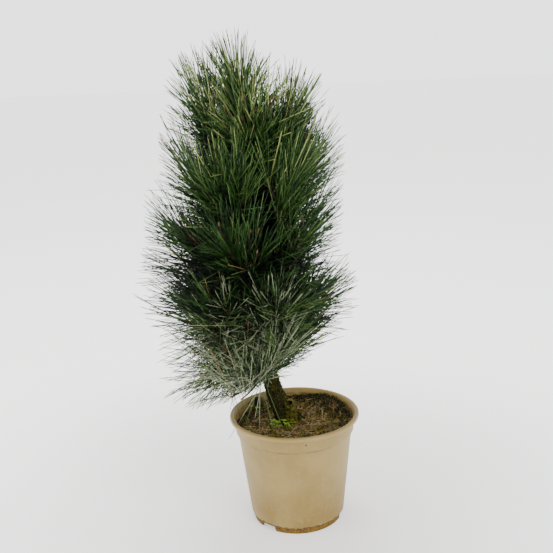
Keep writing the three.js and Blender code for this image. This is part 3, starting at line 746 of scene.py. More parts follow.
def trunk_at(z):
    """Points of the trunk's centre line at heights."""
    z = np.asarray(z, float)
    settled = 1 - np.exp(-(z - SOIL_LEVEL) / TRUNK_LEAN_HEIGHT)
    x = TRUNK_FOOT[0] - TRUNK_LEAN * settled - TRUNK_DRIFT * (z - SOIL_LEVEL)
    return np.stack([x, TRUNK_FOOT[1] + TRUNK_SWEEP_BACK * settled, z], -1)


def trunk_radius(z):
    """Radius of the trunk at heights, with its root flare."""
    share = np.clip((np.asarray(z, float) - SOIL_LEVEL) / (LEADER_TIP_Z - SOIL_LEVEL), 0, 1)
    flare = ROOT_FLARE * np.exp(-np.maximum(0, z - SOIL_LEVEL) / ROOT_FLARE_HEIGHT)
    return TRUNK_TIP_RADIUS + (TRUNK_FOOT_RADIUS - TRUNK_TIP_RADIUS) * (1 - share) ** TRUNK_TAPER + flare


def tube(centres, radii, across):
    """Points and faces of a closed tube along centres, with radii of shape (rings, sides)."""
    rings, sides = radii.shape
    along = unit(np.gradient(centres, axis=0))
    side = unit(across - along * (along @ across)[:, None])
    front = np.cross(side, along)
    turns = np.linspace(0, 2 * np.pi, sides, endpoint=False)
    outward = side[:, None] * np.cos(turns)[None, :, None] + front[:, None] * np.sin(turns)[None, :, None]
    skin_points = centres[:, None] + outward * radii[..., None]
    points = np.vstack([skin_points.reshape(-1, 3), centres[:1], centres[-1:]])
    at = lambda i, j: i * sides + j % sides
    start, end = rings * sides, rings * sides + 1
    faces = []
    for i in range(rings - 1):
        faces += [(at(i, j), at(i + 1, j), at(i + 1, j + 1), at(i, j + 1)) for j in range(sides)]
    faces += [(start, at(0, j), at(0, j + 1)) for j in range(sides)]
    faces += [(end, at(rings - 1, j + 1), at(rings - 1, j)) for j in range(sides)]
    return points, faces


heights = np.linspace(TRUNK_START_Z, TRUNK_TIP_Z, TRUNK_RINGS)
turns = np.linspace(0, 2 * np.pi, TRUNK_SIDES, endpoint=False)
stem_radii = trunk_radius(heights)[:, None] * np.ones(TRUNK_SIDES)
lobes = np.exp(-np.maximum(0, heights - SOIL_LEVEL) / ROOT_LOBE_HEIGHT)[:, None]
stem_radii *= 1 + ROOT_LOBE_SHARE * np.cos(ROOT_LOBES * turns)[None] * lobes
upright = heights[:, None] * np.ones(TRUNK_SIDES)
wrapped = np.stack([np.cos(turns) * stem_radii, np.sin(turns) * stem_radii, upright], -1).reshape(-1, 3)
plates = rough(wrapped * (1, 1, 0.32), PLATE_SIZE, 4, 3.0).reshape(stem_radii.shape)
crust = rough(wrapped, CRUST_SIZE, 3, 4.0).reshape(stem_radii.shape)
cracks = np.exp(-((plates / CRACK_WIDTH) ** 2))
age = np.clip(trunk_radius(heights) / TRUNK_FOOT_RADIUS, 0.2, 1)[:, None]
stem_radii += age * (PLATE_RELIEF * plates - CRACK_DEPTH * cracks + CRUST_RELIEF * crust)
trunk_points, trunk_faces = tube(trunk_at(heights), stem_radii, RIGHTWARD)

# Old pine bark: rough, dull plates, dark brown with paler edges. Moss fills it up to the whorls.
mossy_bark, tree, shader, place = material_of("mossy_pine_bark", 0.92, 0.15)
height = add(tree, "ShaderNodeSeparateXYZ", {"Vector": place}).outputs["Z"]
lengthwise = add(tree, "ShaderNodeMapping", {"Vector": place, "Scale": (1, 1, 0.3)}).outputs["Vector"]
colour = mottled(tree, lengthwise, "#040301", "#211b0b", 5.5, 0.4, 0.62, 6.0)
colour = mottled(tree, place, colour, "#655a34", 3, 0.62, 0.74, 4.0)
mossy_reach = {"Value": height, "From Min": (MOSS_TOP + 60) * MM, "From Max": (MOSS_TOP - 30) * MM}
mossy_reach = add(tree, "ShaderNodeMapRange", mossy_reach).outputs["Result"]
moss_green = mottled(tree, place, "#0b0d03", "#3f3e0f", 2, 0.42, 0.62, 4.0)
colour = mottled(tree, place, colour, moss_green, 8, 0.38, 0.56, 6.0, mossy_reach)
finished(tree, shader, place, colour, 1.1, 1.2)
piece("trunk_bark", trunk_points, trunk_faces, mossy_bark, "bark", "trunk")


# Rootstock stub. The cut top of the stock that the tree was grafted on: a short hollow post in
# front of the trunk's foot, rotten out in the middle and furred with moss outside.
STUB_PLACE = (-6, -9)
STUB_TOP_Z = 201
STUB_RADIUS = 7
STUB_FOOT_RADIUS = 13.5
STUB_LEAN = 0.6 * math.tan(math.radians(-5))
STUB_PIT_RADIUS = 5.2
STUB_PIT_DEPTH = 13
STUB_SIDES = 72
STUB_SLANT = 0.45


def stub_shift(z):
    """How far the stub has moved off the origin at heights, as x and y."""
    return STUB_PLACE[0] + (z - TRUNK_START_Z) * STUB_LEAN, STUB_PLACE[1]


stub_outline = [
    (0, TRUNK_START_Z, 0),
    (STUB_FOOT_RADIUS, TRUNK_START_Z, 2),
    (STUB_RADIUS, STUB_TOP_Z - 1, 1.4),
    (STUB_PIT_RADIUS, STUB_TOP_Z - 1.5, 1.2),
    (STUB_PIT_RADIUS - 1.6, STUB_TOP_Z - STUB_PIT_DEPTH, 1.5),
    (0, STUB_TOP_Z - STUB_PIT_DEPTH - 1, 0),
]
stub_points, stub_faces = lathed(stretched(rounded(stub_outline, 4), 1.0), STUB_SIDES)
push = 1 + 0.13 * rough(stub_points * (1, 1, 0.4), 5, 4, 5.0) + 0.04 * rough(stub_points, 2, 2, 6.0)
stub_points[:, :2] *= push[:, None]
stub_points[:, 2] += np.where(stub_points[:, 2] > STUB_TOP_Z - 4, 1.6 * rough(stub_points, 5, 2, 7.0), 0)
shift_x, shift_y = stub_shift(stub_points[:, 2])
rise = ease(stub_points[:, 2] - TRUNK_START_Z, 10, STUB_TOP_Z - TRUNK_START_Z)
stub_points[:, 2] += STUB_SLANT * stub_points[:, 1] * rise
stub_points[:, 0] += shift_x
stub_points[:, 1] += shift_y

# Dead wood of the stub: grey-brown and yellow with moss outside, tan on its cut edge, black inside.
stub_wood, tree, shader, place = material_of("mossy_dead_wood", 0.9, 0.15)
colour = mottled(tree, place, "#25230a", "#5f5b1c", 4, 0.38, 0.62, 5.0)
height = add(tree, "ShaderNodeSeparateXYZ", {"Vector": place}).outputs["Z"]
pit_middle = Vector((stub_points[1, 0], stub_points[1, 1], STUB_TOP_Z - 6)) * MM
to_pit = add(tree, "ShaderNodeVectorMath", {0: place, 1: pit_middle}, operation="DISTANCE").outputs["Value"]
for value, none, full, over in (
    (height, STUB_TOP_Z - 4, STUB_TOP_Z - 1, "#6a5f2a"),
    (to_pit, STUB_PIT_RADIUS + 2.2, STUB_PIT_RADIUS + 1.2, "#0b0805"),
):
    share = add(tree, "ShaderNodeMapRange", {"Value": value, "From Min": none * MM, "From Max": full * MM})
    colour = {0: share.outputs["Result"], 6: colour, 7: over}
    colour = add(tree, "ShaderNodeMix", colour, data_type="RGBA").outputs[2]
finished(tree, shader, place, colour, 1.2, 1.0)
piece("rootstock_stub", stub_points, stub_faces, stub_wood, "bark")


# Moss fur. Short leaflets stand off the bark of the trunk's foot and the stub, thickest low down.
FUR_COUNT = 6400
STUB_FUR_COUNT = 900
FUR_COATS = [("dark", "#090b03", -1.0, 0.62), ("olive", "#3a3a10", 0.62, 0.95)]
FUR_COATS += [("bright", "#757024", 0.95, 2.0)]
dice = np.random.default_rng(12)


def round_about(turn):
    """Level directions at turns."""
    turn = np.asarray(turn)
    return np.stack([np.cos(turn), np.sin(turn), np.zeros(turn.shape)], -1)


share = dice.uniform(0, 1, FUR_COUNT) ** 1.3
z = SOIL_LEVEL + 1 + (MOSS_TOP - SOIL_LEVEL) * share
outward = round_about(dice.uniform(0, 2 * np.pi, FUR_COUNT))
root = trunk_at(z) + outward * (trunk_radius(z) - 0.4)[:, None]
furry = rough(root, 9, 3, 9.0) > -0.12 + 0.42 * share
root, outward = root[furry], outward[furry]
z = dice.uniform(SOIL_LEVEL, STUB_TOP_Z - 6, STUB_FUR_COUNT)
stub_outward = round_about(dice.uniform(0, 2 * np.pi, STUB_FUR_COUNT))
rise = (z - TRUNK_START_Z) / (STUB_TOP_Z - TRUNK_START_Z)
stub_root = stub_outward * (STUB_FOOT_RADIUS + (STUB_RADIUS - STUB_FOOT_RADIUS) * rise)[:, None]
shift_x, shift_y = stub_shift(z)
stub_root += np.stack([shift_x, np.full(len(z), shift_y), z], -1)
on_stub = np.arange(len(root) + STUB_FUR_COUNT) >= len(root)
root, outward = np.vstack([root, stub_root]), np.vstack([outward, stub_outward])
heading = outward + np.array([0, 0, 0.5]) + dice.normal(0, 0.45, root.shape)
fur_seats = seats_at(root, heading, dice.uniform(1.6, 3.4, len(root)), dice.normal(0, 0.15, root.shape), dice)
# The moss on the left side is painted nearly black as painted shade, on the right side brighter as painted
# light, and the stub is brighter too.
fur_pick = dice.uniform(0, 1, len(root)) + 0.4 * outward[:, 0] + 0.2 * on_stub
fur_making = (leaflet_shape, "bark", 1.1, 0.6)
dealt("bark_moss_{}", "bark_moss_{}", FUR_COATS, fur_pick, fur_seats, (0.85, 0.2), *fur_making)


# Branches. Each bough is one limb that leaves the trunk in a whorl and climbs ever more steeply.
# Past its bare third it carries needles, and side twigs leave it left and right in turn.
BOUGH_ROOT_RADIUS = 5.2
STEM_TIP_RADIUS = 1.9
TWIG_RADII = (2.0, 1.2)
BARE_SHARE = 0.36
# Spacing of side twigs along a stem, and the length of the longest.
SIDE_TWIGS = (26, 54)
FINE_TWIGS = (15, 40)
TWIG_CLEARANCE = 5
WOOD_SIDES = 9
WOOD_RING_SPACING = 2.2
# One row for each whorl: its height, how many boughs it has, the azimuth of the first, their climb at
# the root and at the tip, their reach, how much of it those on the left gain, and how far they sink.
WHORLS = [
    dict(name="low", z=256, count=5, azimuth=184, climb=(-2, 20), reach=62, bias=0.42, droop=15),
    dict(name="skirt", z=300, count=5, azimuth=150, climb=(16, 58), reach=98, bias=0.14, droop=5),
    dict(name="middle", z=354, count=5, azimuth=186, climb=(32, 74), reach=100, bias=0.07, droop=2),
    dict(name="upper", z=430, count=5, azimuth=170, climb=(38, 79), reach=88, bias=0.02, droop=1),
    dict(name="high", z=520, count=4, azimuth=196, climb=(54, 80), reach=62, bias=-0.12, droop=-4),
]
SECOND_LEADER = dict(name="second_leader", z=451, azimuth=349, climb=(62, 87), reach=49, bare=0.34)
ROOT_HEIGHT_JITTER = 14
AZIMUTH_JITTER = 14
CLIMB_JITTER = 5
REACH_JITTER = 0.1

Shoot = namedtuple("Shoot", "mass kind curve start end length across root_radius tip_radius")


def seeded(state):
    """A repeatable stream of numbers from 0 to 1."""

    def draw():
        nonlocal state
        state = (state * 1664525 + 1013904223) % 4294967296
        return state / 4294967296

    return draw


def climbing(root, azimuth, climb, length):
    """A limb's centre line, which turns steadily from one climb angle to another, as a function."""
    low, high = (math.radians(angle) for angle in climb)
    outward = round_about(math.radians(azimuth))
    scale = length / (high - low)

    def at(share):
        now = low + (high - low) * np.asarray(share, float)
        flat, rise = scale * (np.sin(now) - math.sin(low)), scale * (math.cos(low) - np.cos(now))
        return root + outward * flat[..., None] + np.array([0, 0, 1]) * rise[..., None]

    return at


def across_of(azimuth):
    """The level direction across a limb that sets off towards an azimuth."""
    return np.array([-math.sin(math.radians(azimuth)), math.cos(math.radians(azimuth)), 0])


branches = []
for level, whorl in enumerate(WHORLS):
    for i in range(whorl["count"]):
        draw = seeded(101 * (level + 1) + 17 * i)
        azimuth = whorl["azimuth"] + 360 / whorl["count"] * i + AZIMUTH_JITTER * (draw() - 0.5)
        towards_left = -math.cos(math.radians(azimuth))
        climb = [a - whorl["droop"] * towards_left + CLIMB_JITTER * (draw() - 0.5) for a in whorl["climb"]]
        reach = whorl["reach"] * (1 + whorl["bias"] * towards_left + REACH_JITTER * (draw() - 0.5))
        z = whorl["z"] + ROOT_HEIGHT_JITTER * (draw() - 0.5)
        name = f"{whorl['name']}_{i + 1}"
        branches.append(dict(name=name, z=z, azimuth=azimuth, climb=climb, reach=reach, bare=BARE_SHARE))
branches.append(SECOND_LEADER)

# Wood that the needles and twigs keep off: the trunk and the bare boughs, as points and radii.
bare_trunk = np.linspace(SOIL_LEVEL, TRUNK_TIP_Z, 40)
limbs = [(trunk_at(bare_trunk), trunk_radius(bare_trunk))]
for branch in branches:
    low, high = (math.radians(angle) for angle in branch["climb"])
    length = branch["reach"] * (high - low) / (math.sin(high) - math.sin(low))
    curve = climbing(trunk_at(branch["z"]), branch["azimuth"], branch["climb"], length)
    bare, across = branch["bare"], across_of(branch["azimuth"])
    limbs.append((curve(np.linspace(0, bare, 9)), np.full(9, BOUGH_ROOT_RADIUS)))
    radii = (BOUGH_ROOT_RADIUS + (STEM_TIP_RADIUS - BOUGH_ROOT_RADIUS) * bare, STEM_TIP_RADIUS)
    branch["stem"] = Shoot(branch["name"], "stem", curve, bare, 1, length * (1 - bare), across, *radii)
    branch["bare_length"] = branch["stem"].length / (1 - bare) * bare


def trunk_share(share):
    """Points of the trunk's centre line at shares of the way from the substrate to the leader's tip."""
    return trunk_at(SOIL_LEVEL + (LEADER_TIP_Z - SOIL_LEVEL) * np.asarray(share, float))


leader = ((TRUNK_TIP_Z - SOIL_LEVEL) / (LEADER_TIP_Z - SOIL_LEVEL), 1, LEADER_TIP_Z - TRUNK_TIP_Z, RIGHTWARD)
leader = Shoot("leader", "leader", trunk_share, *leader, TRUNK_TIP_RADIUS, STEM_TIP_RADIUS)
masses = [(4001 + 37 * i, branch["azimuth"], branch["stem"]) for i, branch in enumerate(branches)]
masses.append((3001, 180, leader))


def clear_of_limbs(points, spare):
    """Whether each point is further than a spare width from the trunk and the bare boughs."""
    clear = np.ones(len(points), bool)
    for line, radii in limbs:
        for a, b, radius in zip(line[:-1], line[1:], radii):
            share = np.clip((points - a) @ (b - a) / ((b - a) @ (b - a)), 0, 1)
            clear &= np.linalg.norm(points - a - share[:, None] * (b - a), axis=1) - radius > spare
    return clear


# The crown's outline as the photograph shows it: (height, left edge, right edge).
CROWN_OUTLINE = [(184, -178, -140), (204, -206, -92), (220, -214, -56), (236, -220, -14), (266, -216, 16)]
CROWN_OUTLINE += [(283, -212, 32), (309, -204, 82), (350, -220, 100), (391, -240, 100), (428, -230, 94)]
CROWN_OUTLINE += [(466, -212, 75), (503, -208, 77), (541, -206, 78), (588, -180, 84), (636, -176, 82)]
CROWN_OUTLINE += [(683, -170, 76), (716, -158, 48), (739, -154, 14), (750, -150, -14), (760, -128, -29)]
CROWN_OUTLINE += [(771, -108, -34), (786, -80, -40)]
CROWN_FOOT, CROWN_TOP = CROWN_OUTLINE[0][0], CROWN_OUTLINE[-1][0]
CROWN_LEFT = -251
CROWN_LEAST_HALF = 60
# How much further than it is wide the crown may be deep.
CROWN_DEPTH_SPARE = 16
# A side twig ends this far below and inside the outline, so that its needles have room.
TWIG_HEADROOM = 32
TWIG_SIDE_ROOM = 22


def seen_flat(points):
    """Points moved along the photograph's lines of sight on to the plane of the trunk, as x and z."""
    share = CAMERA_DISTANCE / (CAMERA_DISTANCE + points[:, 1])
    return points[:, 0] * share, CAMERA_HEIGHT + (points[:, 2] - CAMERA_HEIGHT) * share


def crown_edges(z):
    """The crown's left and right edge at heights."""
    heights, *sides = zip(*CROWN_OUTLINE)
    return (np.interp(z, heights, side) for side in sides)


def crown_middle(z):
    """Middle x and half width of the crown at heights."""
    left, right = crown_edges(z)
    return (left + right) / 2, np.maximum((right - left) / 2, CROWN_LEAST_HALF)


def outside_crown(points, spare):
    """Whether points lie outside the outline seen from in front, or outside the round crown."""
    x, z = seen_flat(points)
    left, right = crown_edges(z)
    middle, half = crown_middle(points[:, 2])
    too_deep = np.hypot(points[:, 0] - middle, points[:, 1]) > half + CROWN_DEPTH_SPARE + spare
    beside = (x < left - spare) | (x > right + spare) | (points[:, 0] < CROWN_LEFT)
    return beside | too_deep | (z > CROWN_TOP) | (z < CROWN_FOOT)


def side_twigs(seed, azimuth, stem, first, last, kind, spacing, longest):
    """Side twigs of a stem, to the left and right in turn, where they are clear of the limbs."""
    draw = seeded(seed)
    count = round(stem.length / spacing)
    twigs = []
    for k in range(count):
        share = first + (last - first) * (k + 0.5) / count
        root = stem.curve(stem.start + (stem.end - stem.start) * share)
        heading = azimuth + (1 if k % 2 else -1) * (44 + 44 * draw())
        length = longest * (0.86 + 0.34 * draw())
        curve = climbing(root, heading, [22 + 14 * draw(), 70 + 10 * draw()], length)
        over_tip = curve(1)[None] + (0, 0, TWIG_HEADROOM)
        crowded = outside_crown(over_tip, 0) | outside_crown(curve(1)[None], -TWIG_SIDE_ROOM)
        if clear_of_limbs(curve(np.linspace(0.25, 1, 6)), TWIG_CLEARANCE).all() and not crowded[0]:
            twigs.append(Shoot(stem.mass, kind, curve, 0, 1, length, across_of(heading), *TWIG_RADII))
    return twigs


shoots = []
for seed, azimuth, stem in masses:
    shoots.append(stem)
    shoots += side_twigs(seed, azimuth, stem, 0.1, 0.76, "twig", *SIDE_TWIGS)
    shoots += side_twigs(seed + 9, azimuth + 24, stem, 0.05, 0.92, "fine", *FINE_TWIGS)

# A few more twigs fill thin places, and weak ones reach out of the shaded left side, as
# (mass, share along its stem, azimuth, climb, length).
STRAY_TWIGS = [
    ("low_1", 0.15, 205, (-20, -8), 62),
    ("low_1", 0.45, 165, (-24, -10), 66),
    ("low_1", 0.7, 190, (-30, -16), 52),
    ("low_2", 0.3, 222, (-18, -4), 60),
    ("low_2", 0.6, 238, (-24, -6), 48),
    ("low_5", 0.4, 142, (-12, 2), 56),
    ("skirt_1", 0.15, 178, (2, 18), 78),
    ("skirt_1", 0.5, 190, (8, 26), 60),
    ("skirt_2", 0.15, 192, (-2, 12), 74),
    ("skirt_2", 0.5, 176, (6, 28), 66),
    ("middle_1", 0.12, 200, (8, 30), 66),
    ("middle_1", 0.3, 166, (14, 38), 62),
    ("high_1", 0.1, 176, (26, 58), 46),
    ("high_1", 0.3, 206, (32, 62), 44),
    ("high_1", 0.5, 166, (38, 68), 40),
    ("high_2", 0.3, 322, (34, 62), 44),
    ("second_leader", 0.4, 262, (30, 62), 52),
    ("second_leader", 0.6, 240, (36, 66), 48),
    ("skirt_4", 0.3, 350, (12, 26), 44),
    ("skirt_4", 0.7, 20, (16, 34), 40),
]
stems = {stem.mass: stem for _, _, stem in masses}
for mass, share, azimuth, climb, length in STRAY_TWIGS:
    stem = stems[mass]
    curve = climbing(stem.curve(stem.start + (stem.end - stem.start) * share), azimuth, climb, length)
    shoots.append(Shoot(mass, "twig", curve, 0, 1, length, across_of(azimuth), *TWIG_RADII))


def limb_mesh(curve, start, end, length, across, root_radius, tip_radius, seed):
    """A tapering limb with scaly young bark along a stretch of a curve."""
    rings = max(6, round(length / WOOD_RING_SPACING))
    shares = np.linspace(0, 1, rings)
    centres = curve(start + (end - start) * shares)
    radii = (root_radius + (tip_radius - root_radius) * shares)[:, None] * np.ones(WOOD_SIDES)
    skin_at = np.tile(np.eye(3)[np.arange(WOOD_SIDES) % 3] * 9, (rings, 1))
    skin_at += np.repeat(centres, WOOD_SIDES, 0)
    radii *= 1 + 0.2 * rough(skin_at, 3, 2, seed).reshape(radii.shape)
    return tube(centres, radii, across)


# Young pine bark: thin overlapping scales left by fallen needles, brown with straw-coloured edges.
scaly_bark, tree, shader, place = material_of("scaly_young_bark", 0.85)
colour = mottled(tree, place, "#150f08", "#443420", 4, 0.4, 0.6, 5.0)
colour = mottled(tree, place, colour, "#74633f", 2, 0.6, 0.72, 3.0)
finished(tree, shader, place, colour, 0.9, 0.8)
wood = []
for number, branch in enumerate(branches):
    stem, ends = branch["stem"], (0.01, branch["bare"] + 0.01)
    radii = (BOUGH_ROOT_RADIUS, stem.root_radius)
    wood.append(limb_mesh(stem.curve, *ends, branch["bare_length"], stem.across, *radii, 20.0 + number))
bough_nodes = [f"bough_{branch['name']}" for branch in branches]
piece("boughs", *joined(wood), scaly_bark, "bark", *bough_nodes)
wood = [limb_mesh(*shoot[2:], 60.0 + 0.5 * number) for number, shoot in enumerate(shoots)]
piece("stems_and_twigs", *joined(wood), scaly_bark, "bark")


# Bud scales and buds. Papery straw-coloured scales curl off the whorls and the second leader, where
# last year's buds opened, and a short pointed resinous bud closes every shoot.
scale_shape = template_of("scale_shape", [(0, 0.3), (0.3, 0.5), (0.65, 0.4)], 4, 0.9)
bud_shape = template_of("bud_shape", [(0, 0.3), (0.2, 0.5), (0.45, 0.46), (0.75, 0.24)], 7)
WHORL_SCALES = 80
LEADER_SCALES = 200
SCALE_COATS = [("straw", "#d6c296", 0, 0.6), ("brown", "#8a6238", 0.6, 1)]
BUD_LENGTH = 8.0
BUD_WIDTH = 3.4
dice = np.random.default_rng(13)
root, heading = [], []
second = stems["second_leader"]
for share in np.clip(dice.normal(0.3, 0.13, LEADER_SCALES), 0, 0.8):
    outward = round_about(dice.uniform(0, 2 * np.pi))
    root.append(second.curve(second.start + (second.end - second.start) * share) + outward * 3)
    heading.append(outward + np.array([0, 0, dice.uniform(0.2, 1.0)]))
for whorl in WHORLS:
    for _ in range(WHORL_SCALES):
        outward = round_about(dice.uniform(0, 2 * np.pi))
        z = whorl["z"] + dice.uniform(2, 26)
        root.append(trunk_at(z) + outward * (trunk_radius(z) - 0.5))
        heading.append(outward + np.array([0, 0, dice.uniform(0.1, 1.2)]))
root, heading = np.array(root), np.array(heading)
scale_seats = seats_at(root, heading, dice.uniform(6, 13, len(root)), dice.normal(0, 0.3, root.shape), dice)
scale_pick = dice.uniform(0, 1, len(root))
scale_making = (scale_shape, "bark", 2.8, 0.6)
dealt("bud_scales_{}", "papery_{}", SCALE_COATS, scale_pick, scale_seats, (0.75,), *scale_making)
tips = np.array([s.curve(s.end) for s in shoots])
last_bit = tips - np.array([s.curve(s.start + (s.end - s.start) * 0.97) for s in shoots])
bud_lengths = np.full(len(tips), BUD_LENGTH)
bud_seats = seats_at(tips - 1.5 * unit(last_bit), last_bit, bud_lengths, np.zeros(tips.shape), dice)
grown("buds", bud_seats, bud_shape, plain_coat("resinous_bud", "#6b5232", 0.5), "bark", BUD_WIDTH, BUD_WIDTH)


# Needles. They grow in pairs, a spiral of pairs round every shoot, stiff, blunt and a little bent.
# They lean closer to the shoot towards its tip and turn up to the light; low on the left they hang.
NEEDLE_LENGTH = 94
LEADER_NEEDLES = 1.07
NEEDLE_WIDTH = 1.35
GREY_NEEDLE_WIDTH = 1.15
NEEDLE_THICKNESS = 1.0
PAIR_SPACING = {"leader": 0.38, "stem": 0.6, "twig": 0.62, "fine": 0.75, "old": 0.3}
SPREAD_AT_ROOT = 70
SPREAD_AT_TIP = {"leader": 17, "stem": 28, "twig": 28, "fine": 28, "old": 50}
SPREAD_JITTER = 26
PAIR_ANGLE = 6
GOLDEN_TURN = 2 * math.pi * 0.381966
# Needles stand a little closer together towards a shoot's tip, and rise from inside its bark.
TIPWARD = 0.85
ROOT_DEPTH = 0.6
# How much headings scatter and needles curl, and as much more in the curly front, how much they sag,
# and as much more where they droop, and how much longer they are in the curly front and low left.
SCATTER = (0.1, 0.3)
CURL = (0.05, 0.12)
SAG = (0.03, 0.14)
LENGTH_SPREAD = (0.84, 1.04)
LONGER = (0.1, 0.26)
# The way the needles turn as they grow, as (height, climb in degrees away from the crown's middle).
NEEDLE_FLOW = [(200, -36), (250, -20), (300, -2), (350, 10), (430, 22), (520, 36), (600, 50)]
NEEDLE_FLOW += [(680, 70), (740, 82)]
FLOW_SHARE = 0.6
# To the right of the trunk the low needles climb this much more, and in front of the trunk the lowest
# ones turn up by this slope, clear of the bare trunk.
RIGHT_LIFT = 26
FRONT_LIFT = 0.9
# Parts of the crown whose needles differ, each where all its fades are past: (axis, from, to).
REGIONS = {
    "droop": [(2, 320, 240), (0, -30, -90)],
    "curly_front": [(2, 405, 305), (1, 30, -10), (0, -130, -85), (0, 10, -30)],
    "low_left": [(2, 350, 290), (0, -70, -120)],
    "low_right": [(2, 430, 360), (0, -20, 40)],
    "right": [(0, -60, 10), (2, 400, 300)],
    "front": [(1, -15, -60), (2, 330, 280)],
    "lowest": [(2, 290, 240)],
}
# How many of the needles that end near the outside are left out, by height.
EDGE_OPENNESS = [(250, 0.78), (320, 0.86), (390, 0.97), (560, 0.97), (640, 0.93)]
EDGE_FROM = (0.55, 0.88)
CURLY_OPENNESS = 0.3
TOP_THINNING = 0.91
TOP_FROM = (630, 690)
# How far inside the outline the needles' tips begin to thin out, by height, and how far past it any go.
EDGE_THINNING = [(250, 10), (310, 28), (380, 33), (470, 38), (600, 34), (680, 20)]
EDGE_SPARE = 8
# The shares of its length that a needle which ends too far out keeps, at first and low in front again.
SHORTENED = [(0.72, 0.88), (0.5, 0.75)]
# Stray needles at the sides, where they reach further out, and the band at the left with more of them.
STRAY_SHARE = 0.06
STRAY_SPARE = 14
WISPY_BAND = (340, 450)
# The edge is open in wisps of this size, by up to this share more or less than it is on average.
WISP_SIZE = 15
WISP_SHARE = 0.7
# Gaps between the front needles, as (lower z, upper z, x at the lower z, slope, half width): through
# one shows the second leader's scaly stem, and through the other the scales of the trunk's whorl.
FRONT_GAPS = [(490, 556, -38, 0.31, 5), (430, 462, -52, 0.0, 7)]
GAP_OPENNESS = 0.6
# Small patches of withered needles, as the photograph shows them: (x, z, radius).
WITHERED = [(10, 703, 15), (-84, 689, 9), (75, 377, 16), (-175, 223, 26), (-74, 288, 11), (-128, 262, 12)]
WITHERED_SHARE = 0.16
# Needle wax: a smooth cuticle with a soft sheen. Each colour is plain and is dealt out by needle:
# the inside of the crown is painted shade in nearly black-green, the top is olive with pale needles that are
# partly painted highlights, and the low front is bleached grey-green.
needle_shape = template_of("needle_shape", [(0, 0.34), (0.3, 0.5), (0.93, 0.42)], 3)
# Shares of the crown's radius between which the painted shade sets in, the heights over which the
# top is kept clear of the painted shade, and the heights between which olive and pale needles take over.
SHADED_INSIDE = (0.74, 0.44)
LIT_TOP = (640, 730)
OLIVE_RISE = (440, 740)
NEEDLE_COLOURS = {
    "shade": "#060f04",
    "deep": "#10260a",
    "leaf": "#234416",
    "olive": "#4a6530",
    "pale": "#8f9a58",
    "grey": "#8b9375",
    "straw": "#8f7448",
    "rust": "#6f472d",
}


def by_height(z, rows):
    """The second column of rows at heights, which are the first."""
    return np.interp(z, *zip(*rows))


def area_share(points, fades):
    """How far points are past all fades, from 0 to 1."""
    return np.prod([ease(points[:, axis], none, full) for axis, none, full in fades], axis=0)


def in_front_gap(points):
    """Whether points in front of the trunk lie in one of the gaps, seen from in front."""
    x, z = seen_flat(points)
    found = np.zeros(len(points), bool)
    for low, high, at_low, slope, half_width in FRONT_GAPS:
        found |= (z > low) & (z < high) & (np.abs(x - at_low - slope * (z - low)) < half_width)
    return found & (points[:, 1] < -6)


# Older needles still stand on the trunk between its whorls, and on the bare part of each bough.
OLD_NEEDLES = (264, 590)
OLD_TRUNK_RADII = (9, 4)
old_span = [(z - SOIL_LEVEL) / (LEADER_TIP_Z - SOIL_LEVEL) for z in OLD_NEEDLES]
old_span += [OLD_NEEDLES[1] - OLD_NEEDLES[0], RIGHTWARD]
old_wood = [Shoot("leader", "old", trunk_share, *old_span, *OLD_TRUNK_RADII)]
for branch in branches:
    stem, bare = branch["stem"], branch["bare"]
    old_span = (0.1, bare, stem.length / (1 - bare) * (bare - 0.1), stem.across)
    old_wood.append(Shoot(stem.mass, "old", stem.curve, *old_span, BOUGH_ROOT_RADIUS, BOUGH_ROOT_RADIUS))

